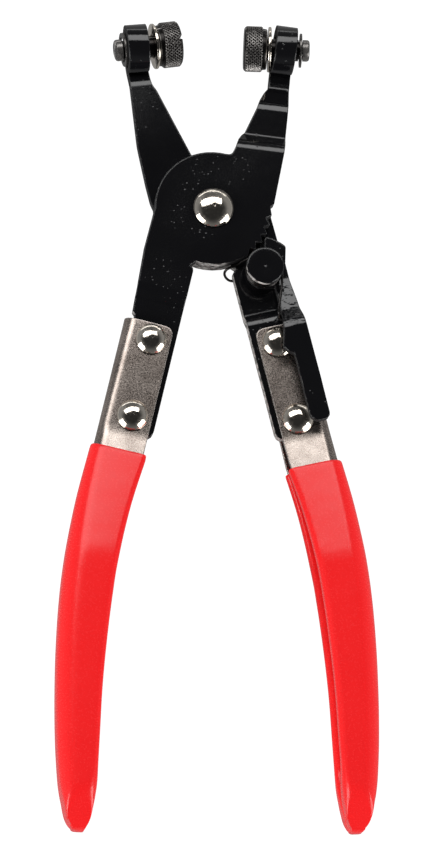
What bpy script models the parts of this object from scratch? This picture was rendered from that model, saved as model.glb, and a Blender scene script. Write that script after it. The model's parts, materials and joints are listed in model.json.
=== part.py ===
"""Hose clamp pliers: two stamped plates on one rivet, swivel jaws, dipped handles and a ratchet latch.

The tool lies on its back. +X is right, +Y is toward the jaws, +Z is the front face.
Every size is in metres and is set below. The pieces are built round the pivot axis at x = y = 0, with
z = 0 between the two plates. One empty at the end stands the whole tool on its lowest point.
"""
import math

import bmesh
import bpy
from mathutils import Matrix, Vector

# Stamped plates
plate_thick = 0.0030
plate_gap = 0.0003
hub_radius = 0.0155
clearance = 0.0003

# Arms, from the hub up to the rolled eyes. A rise is measured up, and an outset out, from the hub's edge.
front_rest = math.radians(0.6)
arm_lean = math.radians(6.5)
eye_outset = 0.0047
front_eye_rise = 0.03015
rear_eye_rise = 0.0294
eye_width = 0.0056
eye_bore = 0.0034
shoulder_rise = 0.0194
shoulder_outset = 0.0001
arm_foot_x = 0.0071
arm_foot_rise = 0.0032
arm_side_outset = 0.0043
arm_side_rise = 0.0023
step_outset = 0.0008
step_y = 0.0014
front_joggle_rise = 0.0011
front_dip_rise = 0.0145
rear_dip_rise = 0.0199
eye_x = hub_radius + eye_outset
front_eye_y = hub_radius + front_eye_rise
rear_eye_y = hub_radius + rear_eye_rise
shoulder_y = hub_radius + shoulder_rise
shoulder_x = hub_radius + shoulder_outset
arm_foot_y = hub_radius + arm_foot_rise
arm_side_x = hub_radius + arm_side_outset
arm_side_y = hub_radius + arm_side_rise
step_x = hub_radius + step_outset
front_joggle_y = hub_radius + front_joggle_rise
front_dip_y = hub_radius + front_dip_rise
rear_dip_y = hub_radius + rear_dip_rise
joggle_bend = 0.0025
dip_bend = 0.0040
joggle_angle = math.radians(45)
dip_angle = math.radians(30)
front_eye_wrap = math.radians(288)
rear_eye_wrap = math.radians(280)

# Ratchet teeth on the front plate
tooth_count = 6
tooth_pitch = math.radians(9.7)
tooth_first = math.radians(-5.5) - front_rest
tooth_steep = math.radians(3.6)
tooth_proud = 0.0002
tooth_sunk = 0.00115
tooth_tip = hub_radius + tooth_proud
tooth_root = hub_radius - tooth_sunk

# Pivot rivet
pivot_radius = 0.0040
pivot_head_radius = 0.0053
pivot_head_high = 0.0025

# Handles. Along runs down the handle from the upper rivet, out is away from the other handle.
handle_lean = math.radians(13.9)
rivet_outset = 0.00145
rivet_drop = 0.02075
rivet_x = hub_radius + rivet_outset
rivet_y = -(hub_radius + rivet_drop)
rivet_spacing = 0.0214
rivet_radius = 0.0022
rivet_head_radius = 0.0041
rivet_head_high = 0.0022
channel_top = 0.0044
channel_out = 0.0080
channel_in = 0.00524
channel_sheet = 0.0012
channel_depth = 0.0060
channel_corner = 0.0022
grip_depth = 0.0137
grip_corner = 0.0046
flare_start = 0.0262
flare_length = 0.0340
flare_bend = 0.0014
handle_length = 0.1305
grip_start = 0.0329
grip_gap = 0.00025
grip_skin_top = 0.0005
grip_skin_low = 0.00105

# Tangs, the lower ends of the plates inside the channels
tang_out_top = 0.0075
tang_out_low = 0.0064
tang_out_channel = 0.0057
tang_in = 0.0065
tang_end = 0.0262
tang_round = 0.0020
front_tang_joggle = 0.0148
rear_tang_joggle = 0.0094
front_tang_bend = 0.0030
rear_tang_bend = 0.0020
front_tang_angle = math.radians(30)
rear_tang_angle = math.radians(40)

# Swivel jaws. Along runs from the eye toward the other jaw.
pin_radius = 0.0029
head_radius = 0.00615
knurl_length = 0.0050
knurl_depth = 0.00035
knurl_count = 24
knurl_rows = 8
collar_length = 0.0012
collar_radius = 0.00545
face_chamfer = 0.0005
slot_wide = 0.0013
slot_deep = 0.0007
washer_thick = 0.0008
jaw_play = 0.0021
left_jaw_turn = math.radians(3.25)
right_jaw_turn = math.radians(4.25)
left_jaw_sag = math.radians(3.0)
right_jaw_sag = math.radians(5.0)
left_clip_gap = 0.00045
right_clip_gap = 0.0013
clip_thick = 0.0006
clip_radius = 0.0046
clip_mouth = math.radians(50)
groove_radius = 0.0024
stub_length = 0.0018
stub_chamfer = 0.0006

# Latch
latch_outset = 0.005866
latch_reach = hub_radius + latch_outset
latch_turn = math.radians(-51.843)
latch_x = latch_reach * math.cos(latch_turn)
latch_y = latch_reach * math.sin(latch_turn)
latch_rest = math.radians(-2.2)
lever_thick = 0.0020
lever_lean = math.radians(15.5)
lever_hub = 0.0043
lever_length = 0.0437
lever_width = 0.0052
lever_rise_start = 0.0030
lever_slope = math.radians(12)
lever_slope_length = 0.0083
lever_climb = math.radians(45)
lever_climb_length = 0.0031
lever_bend = 0.0030
nose_reach = 0.0090
nose_width = 0.0050
shank_radius = 0.0025
button_radius = 0.00495
button_thick = 0.0016
button_dimple = 0.0008
spring_wire = 0.0007
spring_radius = 0.0046
spring_pitch = 0.00125
spring_turns = 2
spring_points = 24

# Smoothness
round_steps = 28
bend_steps = 4

collection_name = "hose_clamp_pliers"


def clear_scene():
    for obj in list(bpy.data.objects):
        bpy.data.objects.remove(obj, do_unlink=True)


def make_collection(name):
    made = bpy.data.collections.new(name)
    bpy.context.scene.collection.children.link(made)
    return made


def make_material(name, colour, roughness, metallic):
    made = bpy.data.materials.new(name)
    made.use_nodes = True
    shader = made.node_tree.nodes["Principled BSDF"]
    shader.inputs["Base Color"].default_value = (*colour, 1.0)
    shader.inputs["Roughness"].default_value = roughness
    shader.inputs["Metallic"].default_value = metallic
    return made


def finish_piece(obj, material, sharp_angle=math.radians(32)):
    """Gives a piece its material and its smooth shading, and puts it in the tool's collection."""
    obj.data.materials.clear()
    obj.data.materials.append(material)
    obj.data.shade_smooth()
    obj.data.set_sharp_from_angle(angle=sharp_angle)
    if obj.name not in parts.objects:
        parts.objects.link(obj)
    return obj


def mesh_piece(name, bm, material):
    bmesh.ops.recalc_face_normals(bm, faces=bm.faces)
    mesh = bpy.data.meshes.new(name)
    bm.to_mesh(mesh)
    bm.free()
    return finish_piece(bpy.data.objects.new(name, mesh), material)


def mesh_from_curve(curve, name):
    """The curve as a closed mesh, with its loose caps welded."""
    guide = bpy.data.objects.new(name + "_curve", curve)
    parts.objects.link(guide)
    bpy.context.view_layer.update()
    evaluated = guide.evaluated_get(bpy.context.evaluated_depsgraph_get())
    mesh = bpy.data.meshes.new_from_object(evaluated)
    bm = bmesh.new()
    bm.from_mesh(mesh)
    bmesh.ops.remove_doubles(bm, verts=bm.verts, dist=clearance / 100)
    bpy.data.objects.remove(guide, do_unlink=True)
    bpy.data.meshes.remove(mesh)
    return bm


def flat_outline(points, thick, name):
    """A plate of this outline, half its thickness to each side of z = 0."""
    curve = bpy.data.curves.new(name, "CURVE")
    curve.dimensions = "2D"
    curve.fill_mode = "BOTH"
    curve.extrude = thick / 2
    spline = curve.splines.new("POLY")
    spline.points.add(len(points) - 1)
    for target, (x, y) in zip(spline.points, points):
        target.co = (x, y, 0, 1)
    spline.use_cyclic_u = True
    bm = mesh_from_curve(curve, name)
    bmesh.ops.dissolve_limit(bm, angle_limit=math.radians(0.5), verts=bm.verts, edges=bm.edges)
    return bm


def turned(name, profile, material, steps=round_steps):
    """A closed turned piece. The profile is (radius, height) from the top middle, down the outer side."""
    bm = bmesh.new()
    ring = [bm.verts.new((radius, 0, height)) for radius, height in profile]
    for first, second in zip(ring, ring[1:]):
        bm.edges.new((first, second))
    mesh = bpy.data.meshes.new(name)
    bm.to_mesh(mesh)
    bm.free()
    obj = bpy.data.objects.new(name, mesh)
    screw = obj.modifiers.new("turn", "SCREW")
    screw.steps = steps
    screw.render_steps = steps
    screw.use_merge_vertices = True
    screw.merge_threshold = clearance / 10
    screw.use_smooth_shade = True
    return finish_piece(obj, material)


def dome(radius, high, steps=5):
    """(radius, height) points of a rivet head's dome, from its top to its rim at height 0."""
    ball = (radius ** 2 + high ** 2) / (2 * high)
    reach = math.asin(min(1, radius / ball)) if high < radius else math.pi / 2
    turns = [reach * step / steps for step in range(steps + 1)]
    return [(ball * math.sin(turn), ball * math.cos(turn) - ball + high) for turn in turns]


def cutter_cylinder(name, radius, length, place, holder=None):
    """An upright cylinder that cuts. Its place is in the holder's frame, or the whole tool's."""
    bpy.ops.mesh.primitive_cylinder_add(vertices=round_steps, radius=radius, depth=length)
    obj = bpy.context.active_object
    obj.name = name
    obj.matrix_world = Matrix.Translation(place)
    return keep_cutter(obj, holder)


def cutter_box(name, size, place):
    bpy.ops.mesh.primitive_cube_add(size=1)
    obj = bpy.context.active_object
    obj.name = name
    obj.matrix_world = Matrix.Translation(place) @ Matrix.Diagonal((*size, 1))
    return keep_cutter(obj)


def keep_cutter(obj, holder=None):
    for collection in list(obj.users_collection):
        collection.objects.unlink(obj)
    cutters.objects.link(obj)
    obj.hide_render = True
    obj.display_type = "WIRE"
    obj.parent = holder or whole
    return obj


def cut(obj, cutter, operation="DIFFERENCE"):
    boolean = obj.modifiers.new(cutter.name, "BOOLEAN")
    boolean.operation = operation
    boolean.solver = "EXACT"
    boolean.object = cutter


def rounded(corners, steps=4):
    """A polygon whose (x, y, radius) corners are rounded with arcs."""
    points = []
    count = len(corners)
    for index, (x, y, radius) in enumerate(corners):
        here = Vector((x, y))
        before = Vector(corners[index - 1][:2]) - here
        after = Vector(corners[(index + 1) % count][:2]) - here
        half = before.angle(after) / 2
        if radius <= 0 or half > math.radians(88):
            points.append((x, y))
            continue
        reach = min(radius / math.tan(half), before.length * 0.48, after.length * 0.48)
        size = reach * math.tan(half)
        middle = here + (before.normalized() + after.normalized()).normalized() * size / math.sin(half)
        start = here + before.normalized() * reach - middle
        sweep = start.angle_signed(here + after.normalized() * reach - middle)
        for step in range(steps + 1):
            turned_by = Matrix.Rotation(-sweep * step / steps, 2) @ start
            points.append(tuple(middle + turned_by))
    return points


class BendLine:
    """The side view of a bent strip: straights and arcs in (forward, up), read by length along the strip."""

    def __init__(self, start, up):
        self.length = start
        self.place = Vector((start, up))
        self.heading = 0.0
        self.pieces = []
        self.cuts = []

    def straight(self, length):
        self.pieces.append((self.length, self.place.copy(), self.heading, None, 0.0))
        self.place += Vector((math.cos(self.heading), math.sin(self.heading))) * length
        self.length += length
        self.cuts.append(self.length)
        return self

    def arc(self, radius, angle, steps=bend_steps):
        start_length = self.length
        start_heading = self.heading
        for step in range(steps):
            self.pieces.append((self.length, self.place.copy(), self.heading, radius, angle / steps))
            side = math.copysign(1, angle)
            centre = self.place + Vector((-math.sin(self.heading), math.cos(self.heading))) * radius * side
            self.heading = start_heading + angle * (step + 1) / steps
            self.place = centre - Vector((-math.sin(self.heading), math.cos(self.heading))) * radius * side
            self.length = start_length + radius * abs(angle) * (step + 1) / steps
            self.cuts.append(self.length)
        return self

    def joggle(self, rise, radius, angle):
        """Two opposite bends that move the strip up by rise."""
        turn = math.copysign(angle, rise)
        slope = (abs(rise) - 2 * radius * (1 - math.cos(angle))) / math.sin(angle)
        return self.arc(radius, turn).straight(slope).arc(radius, -turn)

    def at(self, length, height):
        """Where a point of the flat strip comes to lie."""
        begin, place, heading, radius, angle = self.pieces[0]
        for piece in self.pieces:
            if piece[0] <= length + clearance / 1000:
                begin, place, heading, radius, angle = piece
        if radius is None:
            forward = Vector((math.cos(heading), math.sin(heading)))
            normal = Vector((-math.sin(heading), math.cos(heading)))
            return place + forward * (length - begin) + normal * height
        side = math.copysign(1, angle)
        centre = place + Vector((-math.sin(heading), math.cos(heading))) * radius * side
        turned_by = heading + (length - begin) / radius * side
        return centre - Vector((-math.sin(turned_by), math.cos(turned_by))) * (radius * side - height)

    def unroll(self, forward):
        """The length along the strip that lies above a forward distance."""
        low, high = self.pieces[0][0], self.length
        if forward <= low:
            return forward
        for _ in range(40):
            middle = (low + high) / 2
            if self.at(middle, 0).x < forward:
                low = middle
            else:
                high = middle
        return (low + high) / 2


def bend(bm, origin, forward, line):
    """Cuts a flat plate at the bends of a line and folds it. Only what lies past the line's start moves."""
    direction = Vector(forward).normalized()
    sideways = Vector((direction.y, -direction.x))
    start = line.pieces[0][0]
    middle = line.pieces[0][1].y
    for length in [start] + line.cuts[:-1]:
        place = Vector(origin) + direction * length
        geometry = bm.verts[:] + bm.edges[:] + bm.faces[:]
        bmesh.ops.bisect_plane(bm, geom=geometry, dist=clearance / 1000,
                               plane_co=(*place, 0), plane_no=(*direction, 0))
    for vert in bm.verts:
        flat = Vector(vert.co.xy) - Vector(origin)
        length = flat.dot(direction)
        if length > start + clearance / 1000:
            bent = line.at(length, vert.co.z - middle)
            spot = Vector(origin) + direction * bent.x + sideways * flat.dot(sideways)
            vert.co = (*spot, bent.y)


def loft(rings):
    """A closed solid through rings of equal point counts, with a flat cap at each end."""
    bm = bmesh.new()
    rows = [[bm.verts.new(point) for point in ring] for ring in rings]
    for row, following in zip(rows, rows[1:]):
        for index in range(len(row)):
            ahead = (index + 1) % len(row)
            bm.faces.new((row[index], row[ahead], following[ahead], following[index]))
    bm.faces.new(rows[0][::-1])
    bm.faces.new(rows[-1])
    return bm


def lean_axes(lean):
    """(along, outward) in plan for something that leans out from the vertical by this angle."""
    return Vector((math.sin(lean), math.cos(lean))), Vector((math.cos(lean), -math.sin(lean)))


def handle_axes():
    """(down the handle, outward) for the right handle."""
    down = Vector((math.sin(handle_lean), -math.cos(handle_lean)))
    outward = Vector((math.cos(handle_lean), math.sin(handle_lean)))
    return down, outward


def on_handle(along, out):
    """A plan point of the right handle."""
    down, outward = handle_axes()
    return Vector((rivet_x, rivet_y)) + down * along + outward * out


def arm_line(layer, joggles, eye_y):
    """The side view of an arm: its joggles, the dip behind the jaw pin and the rolled eye."""
    up, outward = lean_axes(arm_lean)
    eye_forward = Vector((eye_x, eye_y)).dot(up)
    first = Vector((eye_x, joggles[0][0])).dot(up) - eye_x * math.sin(arm_lean) / 2
    line = BendLine(first, layer)
    target = -(eye_bore + plate_thick / 2)
    for (y, rise, radius, angle) in joggles:
        ahead = y / math.cos(arm_lean) - line.place.x
        if ahead > clearance:
            line.straight(ahead)
        line.joggle(rise if rise is not None else target - line.place.y, radius, angle)
    line.straight(eye_forward - line.place.x)
    return line


def plate_points(line, toothed, eye_y):
    """The flat outline of a plate whose arm leans right and whose tang leans left."""
    up, outward = lean_axes(arm_lean)
    half = eye_width / 2
    neck = Vector((eye_x, eye_y)).dot(outward)
    top = line.length

    def on_arm(x, y):
        """A plan point of the arm, moved up by what its bends take in."""
        point = Vector((x, y))
        forward = point.dot(up)
        return point + up * (line.unroll(forward) - forward)

    foot = line.unroll(Vector((eye_x, eye_y)).dot(up) * 0.80)
    corners = []
    if toothed:
        corners.append((step_x - plate_thick * 0.35, step_y - plate_thick * 0.3, 0))
        corners.append((step_x, step_y, clearance))
    else:
        corners.append((hub_radius * 0.999, step_y * 0.3, 0))
        corners.append((step_x, step_y * 1.6, plate_thick))
    side = on_arm(arm_side_x, arm_side_y)
    waist_share = 0.35
    corners.append((step_x + (arm_side_x - step_x) * waist_share, step_y + (arm_side_y - step_y) * waist_share,
                    hub_radius * 2))
    corners.append((*side, hub_radius * 2))
    corners.append((*(outward * (neck + half) + up * foot), 0))
    corners.append((*(outward * (neck + half) + up * top), 0))
    corners.append((*(outward * (neck - half) + up * top), 0))
    corners.append((*(outward * (neck - half) + up * line.unroll(shoulder_y * 1.06)), eye_width * 1.2))
    corners.append((*on_arm(shoulder_x - eye_width * 0.16, shoulder_y - eye_width * 0.28), eye_width))
    corners.append((*on_arm(arm_foot_x, arm_foot_y), 0))
    foot_slope = (shoulder_x - arm_foot_x) / (shoulder_y - arm_foot_y)
    crotch_y = hub_radius * 0.965
    corners.append((arm_foot_x - (arm_foot_y - crotch_y) * foot_slope, crotch_y, plate_thick * 0.7))
    corners.append((hub_radius * 0.23, hub_radius * 0.973, 0))
    points = rounded(corners, steps=3)
    hub_start = math.radians(82)
    hub_end = math.radians(180)
    points += hub_arc(hub_start, hub_end, 14)
    points += tang_points()
    tang_corner = math.radians(252)
    last = math.radians(360) + tooth_first - (tooth_count - 1) * tooth_pitch if toothed else math.radians(350)
    stop = last - tooth_pitch * 0.6 if toothed else last
    points += hub_arc(tang_corner, stop, 6 if toothed else 12)
    if toothed:
        points += tooth_points()
    return points


def hub_arc(start, end, steps):
    angles = [start + (end - start) * step / steps for step in range(steps + 1)]
    return [(hub_radius * math.cos(angle), hub_radius * math.sin(angle)) for angle in angles]


def tooth_points():
    """Tips and roots of the ratchet, from the lowest tooth up. The steep flanks face down."""
    points = []
    for tooth in reversed(range(tooth_count)):
        tip = tooth_first - tooth * tooth_pitch
        root = tip - tooth_steep
        if tooth < tooth_count - 1:
            points.append((tooth_root * math.cos(root), tooth_root * math.sin(root)))
        points.append((tooth_tip * math.cos(tip), tooth_tip * math.sin(tip)))
    return points


def tang_points():
    """The left tang, from the hub's left side round its end to the hub's lower edge."""
    low = -channel_top - clearance * 4
    chamfer = low - (tang_out_low - tang_out_channel)
    corners = []
    corners.append((*on_handle(chamfer - plate_thick * 6, tang_out_top), 0))
    corners.append((*on_handle(chamfer, tang_out_low), 0))
    corners.append((*on_handle(low, tang_out_channel), 0))
    corners.append((*on_handle(tang_end, tang_out_channel), tang_round))
    corners.append((*on_handle(tang_end, -tang_in), tang_round))
    corners.append((*on_handle(-(rivet_spacing + hub_radius) * 0.60, -tang_in), plate_thick / 2))
    return [(-x, y) for x, y in rounded(corners, steps=3)]


def make_plate(name, front, material):
    """A half of the tool in one stamping: arm with rolled eye, hub and tang."""
    side = 1 if front else -1
    layer = side * (plate_thick + plate_gap) / 2
    eye_y = front_eye_y if front else rear_eye_y
    if front:
        joggles = [(front_joggle_y, -(plate_thick + plate_gap), joggle_bend, joggle_angle),
                   (front_dip_y, None, dip_bend, dip_angle)]
    else:
        joggles = [(rear_dip_y, None, dip_bend, dip_angle)]
    line = arm_line(layer, joggles, eye_y)
    line.arc(eye_bore + plate_thick / 2, front_eye_wrap if front else rear_eye_wrap, steps=20)
    bm = flat_outline(plate_points(line, front, eye_y), plate_thick, name)
    bmesh.ops.translate(bm, verts=bm.verts, vec=(0, 0, layer))
    up, outward = lean_axes(arm_lean)
    bend(bm, (0, 0), up, line)
    down, outward = handle_axes()
    start = -(front_tang_joggle if front else rear_tang_joggle)
    tang_line = BendLine(start, layer)
    tang_line.joggle(-layer, front_tang_bend if front else rear_tang_bend,
                     front_tang_angle if front else rear_tang_angle)
    tang_line.straight(tang_end * 2)
    bend(bm, (-rivet_x, rivet_y), (-down.x, down.y), tang_line)
    if not front:
        bmesh.ops.scale(bm, verts=bm.verts, vec=(-1, 1, 1))
    plate = mesh_piece(name, bm, material)
    plate.parent = front_axis if front else rear_axis
    cut(plate, cutter_cylinder(name + "_pivot_hole", pivot_radius + clearance, plate_thick * 4, (0, 0, 0),
                               plate.parent))
    for number in range(2):
        place = on_handle(rivet_spacing * number, 0)
        cut(plate, cutter_cylinder("%s_rivet_hole_%d" % (name, number + 1), rivet_radius + clearance,
                                   plate_thick * 4, (-side * place.x, place.y, 0), plate.parent))
    if not front:
        cut(plate, cutter_cylinder(name + "_latch_hole", shank_radius + clearance, plate_thick * 4,
                                   (latch_x, latch_y, 0), plate.parent))
    return plate


def handle_edges(with_tip):
    """Pairs of (along, out) points down the handle: its outer edge and its inner edge, without the skin.

    The shares are of the handle's length from the upper rivet and of the channel's width.
    """
    width = channel_out + channel_in
    outer_shares = [(0.250, 0.000), (0.355, 0.000), (0.463, -0.064), (0.552, -0.161), (0.650, -0.326),
                    (0.742, -0.521), (0.828, -0.735), (0.898, -0.940), (0.930, -1.060), (0.950, -1.155)]
    inner_shares = [(0.250, 0.000), (0.350, 0.090), (0.458, 0.104), (0.540, 0.045), (0.634, -0.060),
                    (0.722, -0.185), (0.806, -0.335), (0.868, -0.450), (0.908, -0.525), (0.934, -0.553)]
    if with_tip:
        outer_shares += [(0.969, -1.232), (0.987, -1.325), (0.9985, -1.410), (1.006, -1.470)]
        inner_shares += [(0.956, -0.550), (0.980, -0.556), (0.9962, -0.535), (1.0055, -0.490)]
    pairs = []
    for (along, out), (along_in, into) in zip(outer_shares, inner_shares):
        outer = (along * handle_length, channel_out + out * width)
        inner = (along_in * handle_length, -channel_in + into * width)
        pairs.append((outer, inner))
    return pairs


def handle_stations(finer=1, with_tip=False):
    """(outer, inner, half depth, corner radius) down the handle, smoothed between the chosen pairs."""
    path = handle_edges(with_tip)
    stations = []
    for along in (-channel_top, flare_start - flare_bend, flare_start, flare_start + flare_bend):
        stations.append(((along, channel_out), (along, -channel_in)))
    for index in range(len(path) - 1):
        for step in range(finer):
            share = step / finer
            four = [path[max(index - 1, 0)], path[index], path[index + 1], path[min(index + 2, len(path) - 1)]]
            outer = tuple(smooth([pair[0][axis] for pair in four], share) for axis in range(2))
            inner = tuple(smooth([pair[1][axis] for pair in four], share) for axis in range(2))
            stations.append((outer, inner))
    stations.append(path[-1])
    result = []
    for outer, inner in stations:
        half, corner = depth_at((outer[0] + inner[0]) / 2)
        width = (Vector(outer) - Vector(inner)).length
        result.append((outer, inner, half, min(corner, width * 0.6)))
    return result


def smooth(four, share):
    """A Catmull-Rom value between the second and the third of four numbers."""
    before, start, end, after = four
    pull = (end - before) / 2
    push = (after - start) / 2
    a = 2 * start - 2 * end + pull + push
    b = -3 * start + 3 * end - 2 * pull - push
    return ((a * share + b) * share + pull) * share + start


def flare_share(along):
    """How far the handle has deepened: a straight ramp that is eased at both of its ends."""
    ease = flare_bend / flare_length
    share = (along - flare_start) / flare_length
    if share > 0.5:
        return 1 - flare_share(2 * flare_start + flare_length - along)
    if share > ease:
        return share
    return max(0, share + ease) ** 2 / (4 * ease)


def depth_at(along):
    """(half depth, corner radius) of the steel."""
    flare = flare_share(along)
    half = (channel_depth + (grip_depth - channel_depth) * flare) / 2
    return half, channel_depth / 2 + (grip_corner - channel_depth / 2) * flare


def channel_ring(side, station, grow, lip, draw_in=0.0, slot_deep_share=1.0, high_share=1.0):
    """A C section round the handle's sheet, grown outward on all sides, open toward the other handle."""
    outer, inner, half, corner = station
    outer = Vector(outer)
    inner = Vector(inner)
    inward = (inner - outer).normalized()
    length = (inner - outer).length - draw_in + grow
    depth = half + grow
    thick = channel_sheet + 2 * grow
    inner_corner = max(corner - channel_sheet - grow, clearance)
    lip = min(lip, thick * 0.49)
    section = lip_arc(length, depth, thick, lip)
    wide = corner + grow
    for step in range(5):
        turn = math.pi / 2 * step / 4
        section.append((wide - wide * math.sin(turn) - grow, depth - wide + wide * math.cos(turn)))
    mirrored = [(x, -z) for x, z in reversed(section)]
    floor = length - lip - (length - lip - channel_sheet - grow) * slot_deep_share
    rear = []
    for step in range(4):
        turn = math.pi / 2 * step / 3
        rear.append((floor + inner_corner - inner_corner * math.sin(turn),
                     depth - thick - inner_corner + inner_corner * math.cos(turn)))
    whole_ring = section + mirrored + [(x, -z) for x, z in rear] + list(reversed(rear))
    points = []
    for x, z in whole_ring:
        plan = outer + inward * x
        spot = on_handle(plan.x, plan.y)
        points.append((side * spot.x, spot.y, z * high_share))
    return points


def lip_arc(length, depth, thick, lip):
    """The edge of the front flange, from its inner face round to its outer face."""
    points = []
    for step in range(3):
        turn = math.pi / 2 * step / 2
        points.append((length - lip + lip * math.sin(turn), depth - thick + lip - lip * math.cos(turn)))
    for step in range(3):
        turn = math.pi / 2 * step / 2
        points.append((length - lip + lip * math.cos(turn), depth - lip + lip * math.sin(turn)))
    return points


def make_channel(name, side, material, holder):
    """The folded steel channel of one handle, with rounded upper flange corners."""
    stations = handle_stations(finer=1)
    top = stations[0]
    rings = []
    lip = channel_sheet * 0.12
    for step in range(4):
        turn = math.pi / 2 * step / 3
        shift = channel_corner * (1 - math.sin(turn))
        moved = channel_corner * (1 - math.cos(turn))
        station = ((top[0][0] + moved, top[0][1]), (top[1][0] + moved, top[1][1]), top[2], top[3])
        rings.append(channel_ring(side, station, 0.0, lip, draw_in=shift))
    for station in stations[1:-1]:
        rings.append(channel_ring(side, station, 0.0, lip))
    channel = mesh_piece(name, loft(rings), material)
    channel.parent = holder
    for number in range(2):
        place = on_handle(rivet_spacing * number, 0)
        cut(channel, cutter_cylinder("%s_hole_%d" % (name, number + 1), rivet_radius + clearance,
                                     channel_depth * 2, (side * place.x, place.y, 0), holder))
    return channel


def make_grip(name, side, material):
    """The dipped skin: it wraps the channel inside and out and closes round its lower end."""
    steel = handle_stations(finer=1)
    fine = handle_stations(finer=2)
    covered = [station for station in steel if station[0][0] > grip_start + clearance]
    half, corner = depth_at(grip_start)
    top = ((grip_start, channel_out), (grip_start, -channel_in), half, corner)
    rings = []
    sheet_lip = channel_sheet / 2 + grip_gap
    end_share = 0.88
    for station in reversed(covered):
        high_share = end_share if station is covered[-1] else 1.0
        rings.append(channel_ring(side, station, grip_gap, sheet_lip, high_share=high_share))
    rings.append(channel_ring(side, top, grip_gap, sheet_lip))
    grow = grip_gap + grip_skin_top
    rings.append(channel_ring(side, top, grow, channel_sheet / 2 + grow))
    for station in fine:
        if station[0][0] > grip_start + clearance:
            share = flare_share((station[0][0] + station[1][0]) / 2)
            grow = grip_gap + grip_skin_top + (grip_skin_low - grip_skin_top) * share
            high_share = 0.96 if station is fine[-1] else 1.0
            rings.append(channel_ring(side, station, grow, channel_sheet / 2 + grow, high_share=high_share))
    tip = handle_stations(finer=1, with_tip=True)[len(steel):]
    tip_shares = [(0.80, 0.60, 1.00, 1.00), (0.64, 0.35, 0.96, 0.90), (0.53, 0.10, 0.90, 0.50),
                  (0.33, 0.00, 0.55, 0.15)]
    lip = channel_sheet / 2 + grow
    for station, (high_share, slot_share, skin_share, lip_share) in zip(tip, tip_shares):
        rings.append(channel_ring(side, station, grow * skin_share, lip * lip_share,
                                  slot_deep_share=slot_share, high_share=high_share))
    return mesh_piece(name, loft(rings), material)


def make_handle_rivet(name, side, number, material):
    """A domed rivet through channel and tang, its two heads on the flanges."""
    seat = channel_depth / 2 + clearance
    top = [(radius, height + seat) for radius, height in dome(rivet_head_radius, rivet_head_high)]
    profile = top + [(rivet_radius, seat)]
    profile += [(radius, -height) for radius, height in reversed(profile)]
    rivet = turned(name, profile, material, steps=20)
    place = on_handle(rivet_spacing * number, 0)
    rivet.location = (side * place.x, place.y, 0)
    return rivet


def make_pivot(name, material):
    seat = plate_thick + plate_gap / 2 + clearance
    top = [(radius, height + seat) for radius, height in dome(pivot_head_radius, pivot_head_high, steps=6)]
    profile = top + [(pivot_radius, seat)]
    profile += [(radius, -height) for radius, height in reversed(profile)]
    return turned(name, profile, material, steps=32)


def make_jaw_pin(name, clip_at, washer_at, material):
    """The pin along +X: knurled head, smooth collar, shank, clip groove and stub."""
    collar = washer_at + washer_thick + clearance
    face = collar + collar_length + knurl_length
    around = knurl_count * 2
    rings = [(collar, collar_radius, 0.0), (collar + collar_length, head_radius - knurl_depth / 2, 0.0)]
    for row in range(knurl_rows):
        along = collar + collar_length * 1.04 + (knurl_length - face_chamfer * 1.3) * row / (knurl_rows - 1)
        rings.append((along, head_radius, knurl_depth))
    rings.append((face - face_chamfer * 0.2, head_radius - face_chamfer, 0.0))
    rings.append((face, head_radius - face_chamfer * 1.4, 0.0))
    circles = []
    for row, (along, radius, depth) in enumerate(rings):
        circle = []
        for index in range(around):
            angle = 2 * math.pi * index / around
            reach = radius - (depth if (index + row) % 2 else 0.0)
            circle.append((along, reach * math.cos(angle), reach * math.sin(angle)))
        circles.append(circle)
    pin = mesh_piece(name, loft(circles), material)
    for turn in range(2):
        size = (slot_deep * 2, head_radius * 3, slot_wide) if turn else (slot_deep * 2, slot_wide, head_radius * 3)
        slot = cutter_box("%s_slot_%d" % (name, turn + 1), size, (face, 0, 0))
        cut(pin, slot)
    groove = clip_thick / 2 + clearance
    stub_end = clip_at - groove - stub_length
    profile = [(0, 0), (pin_radius - stub_chamfer, 0), (pin_radius, stub_chamfer), (pin_radius, stub_length),
               (groove_radius, stub_length), (groove_radius, stub_length + groove * 2),
               (pin_radius, stub_length + groove * 2), (pin_radius, collar + collar_length / 2 - stub_end),
               (0, collar + collar_length / 2 - stub_end)]
    shank = turned(name + "_shank", [(radius, -height) for radius, height in profile], material, steps=24)
    parts.objects.unlink(shank)
    shank.matrix_world = Matrix.Translation((stub_end, 0, 0)) @ Matrix.Rotation(-math.pi / 2, 4, "Y")
    keep_cutter_linked(shank)
    cut(pin, shank, "UNION")
    return pin


def keep_cutter_linked(obj):
    cutters.objects.link(obj)
    obj.hide_render = True
    obj.display_type = "WIRE"


def make_washer(name, washer_at, material):
    bore = pin_radius + clearance
    edge = washer_thick * 0.2
    bm = bmesh.new()
    profile = [(washer_at, bore), (washer_at, head_radius - edge), (washer_at + edge, head_radius),
               (washer_at + washer_thick - edge, head_radius), (washer_at + washer_thick, head_radius - edge),
               (washer_at + washer_thick, bore)]
    rows = []
    for along, radius in profile:
        row = []
        for index in range(round_steps):
            angle = 2 * math.pi * index / round_steps
            row.append(bm.verts.new((along, radius * math.cos(angle), radius * math.sin(angle))))
        rows.append(row)
    for number, row in enumerate(rows):
        following = rows[(number + 1) % len(rows)]
        for index in range(round_steps):
            ahead = (index + 1) % round_steps
            bm.faces.new((row[index], row[ahead], following[ahead], following[index]))
    return mesh_piece(name, bm, material)


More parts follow.
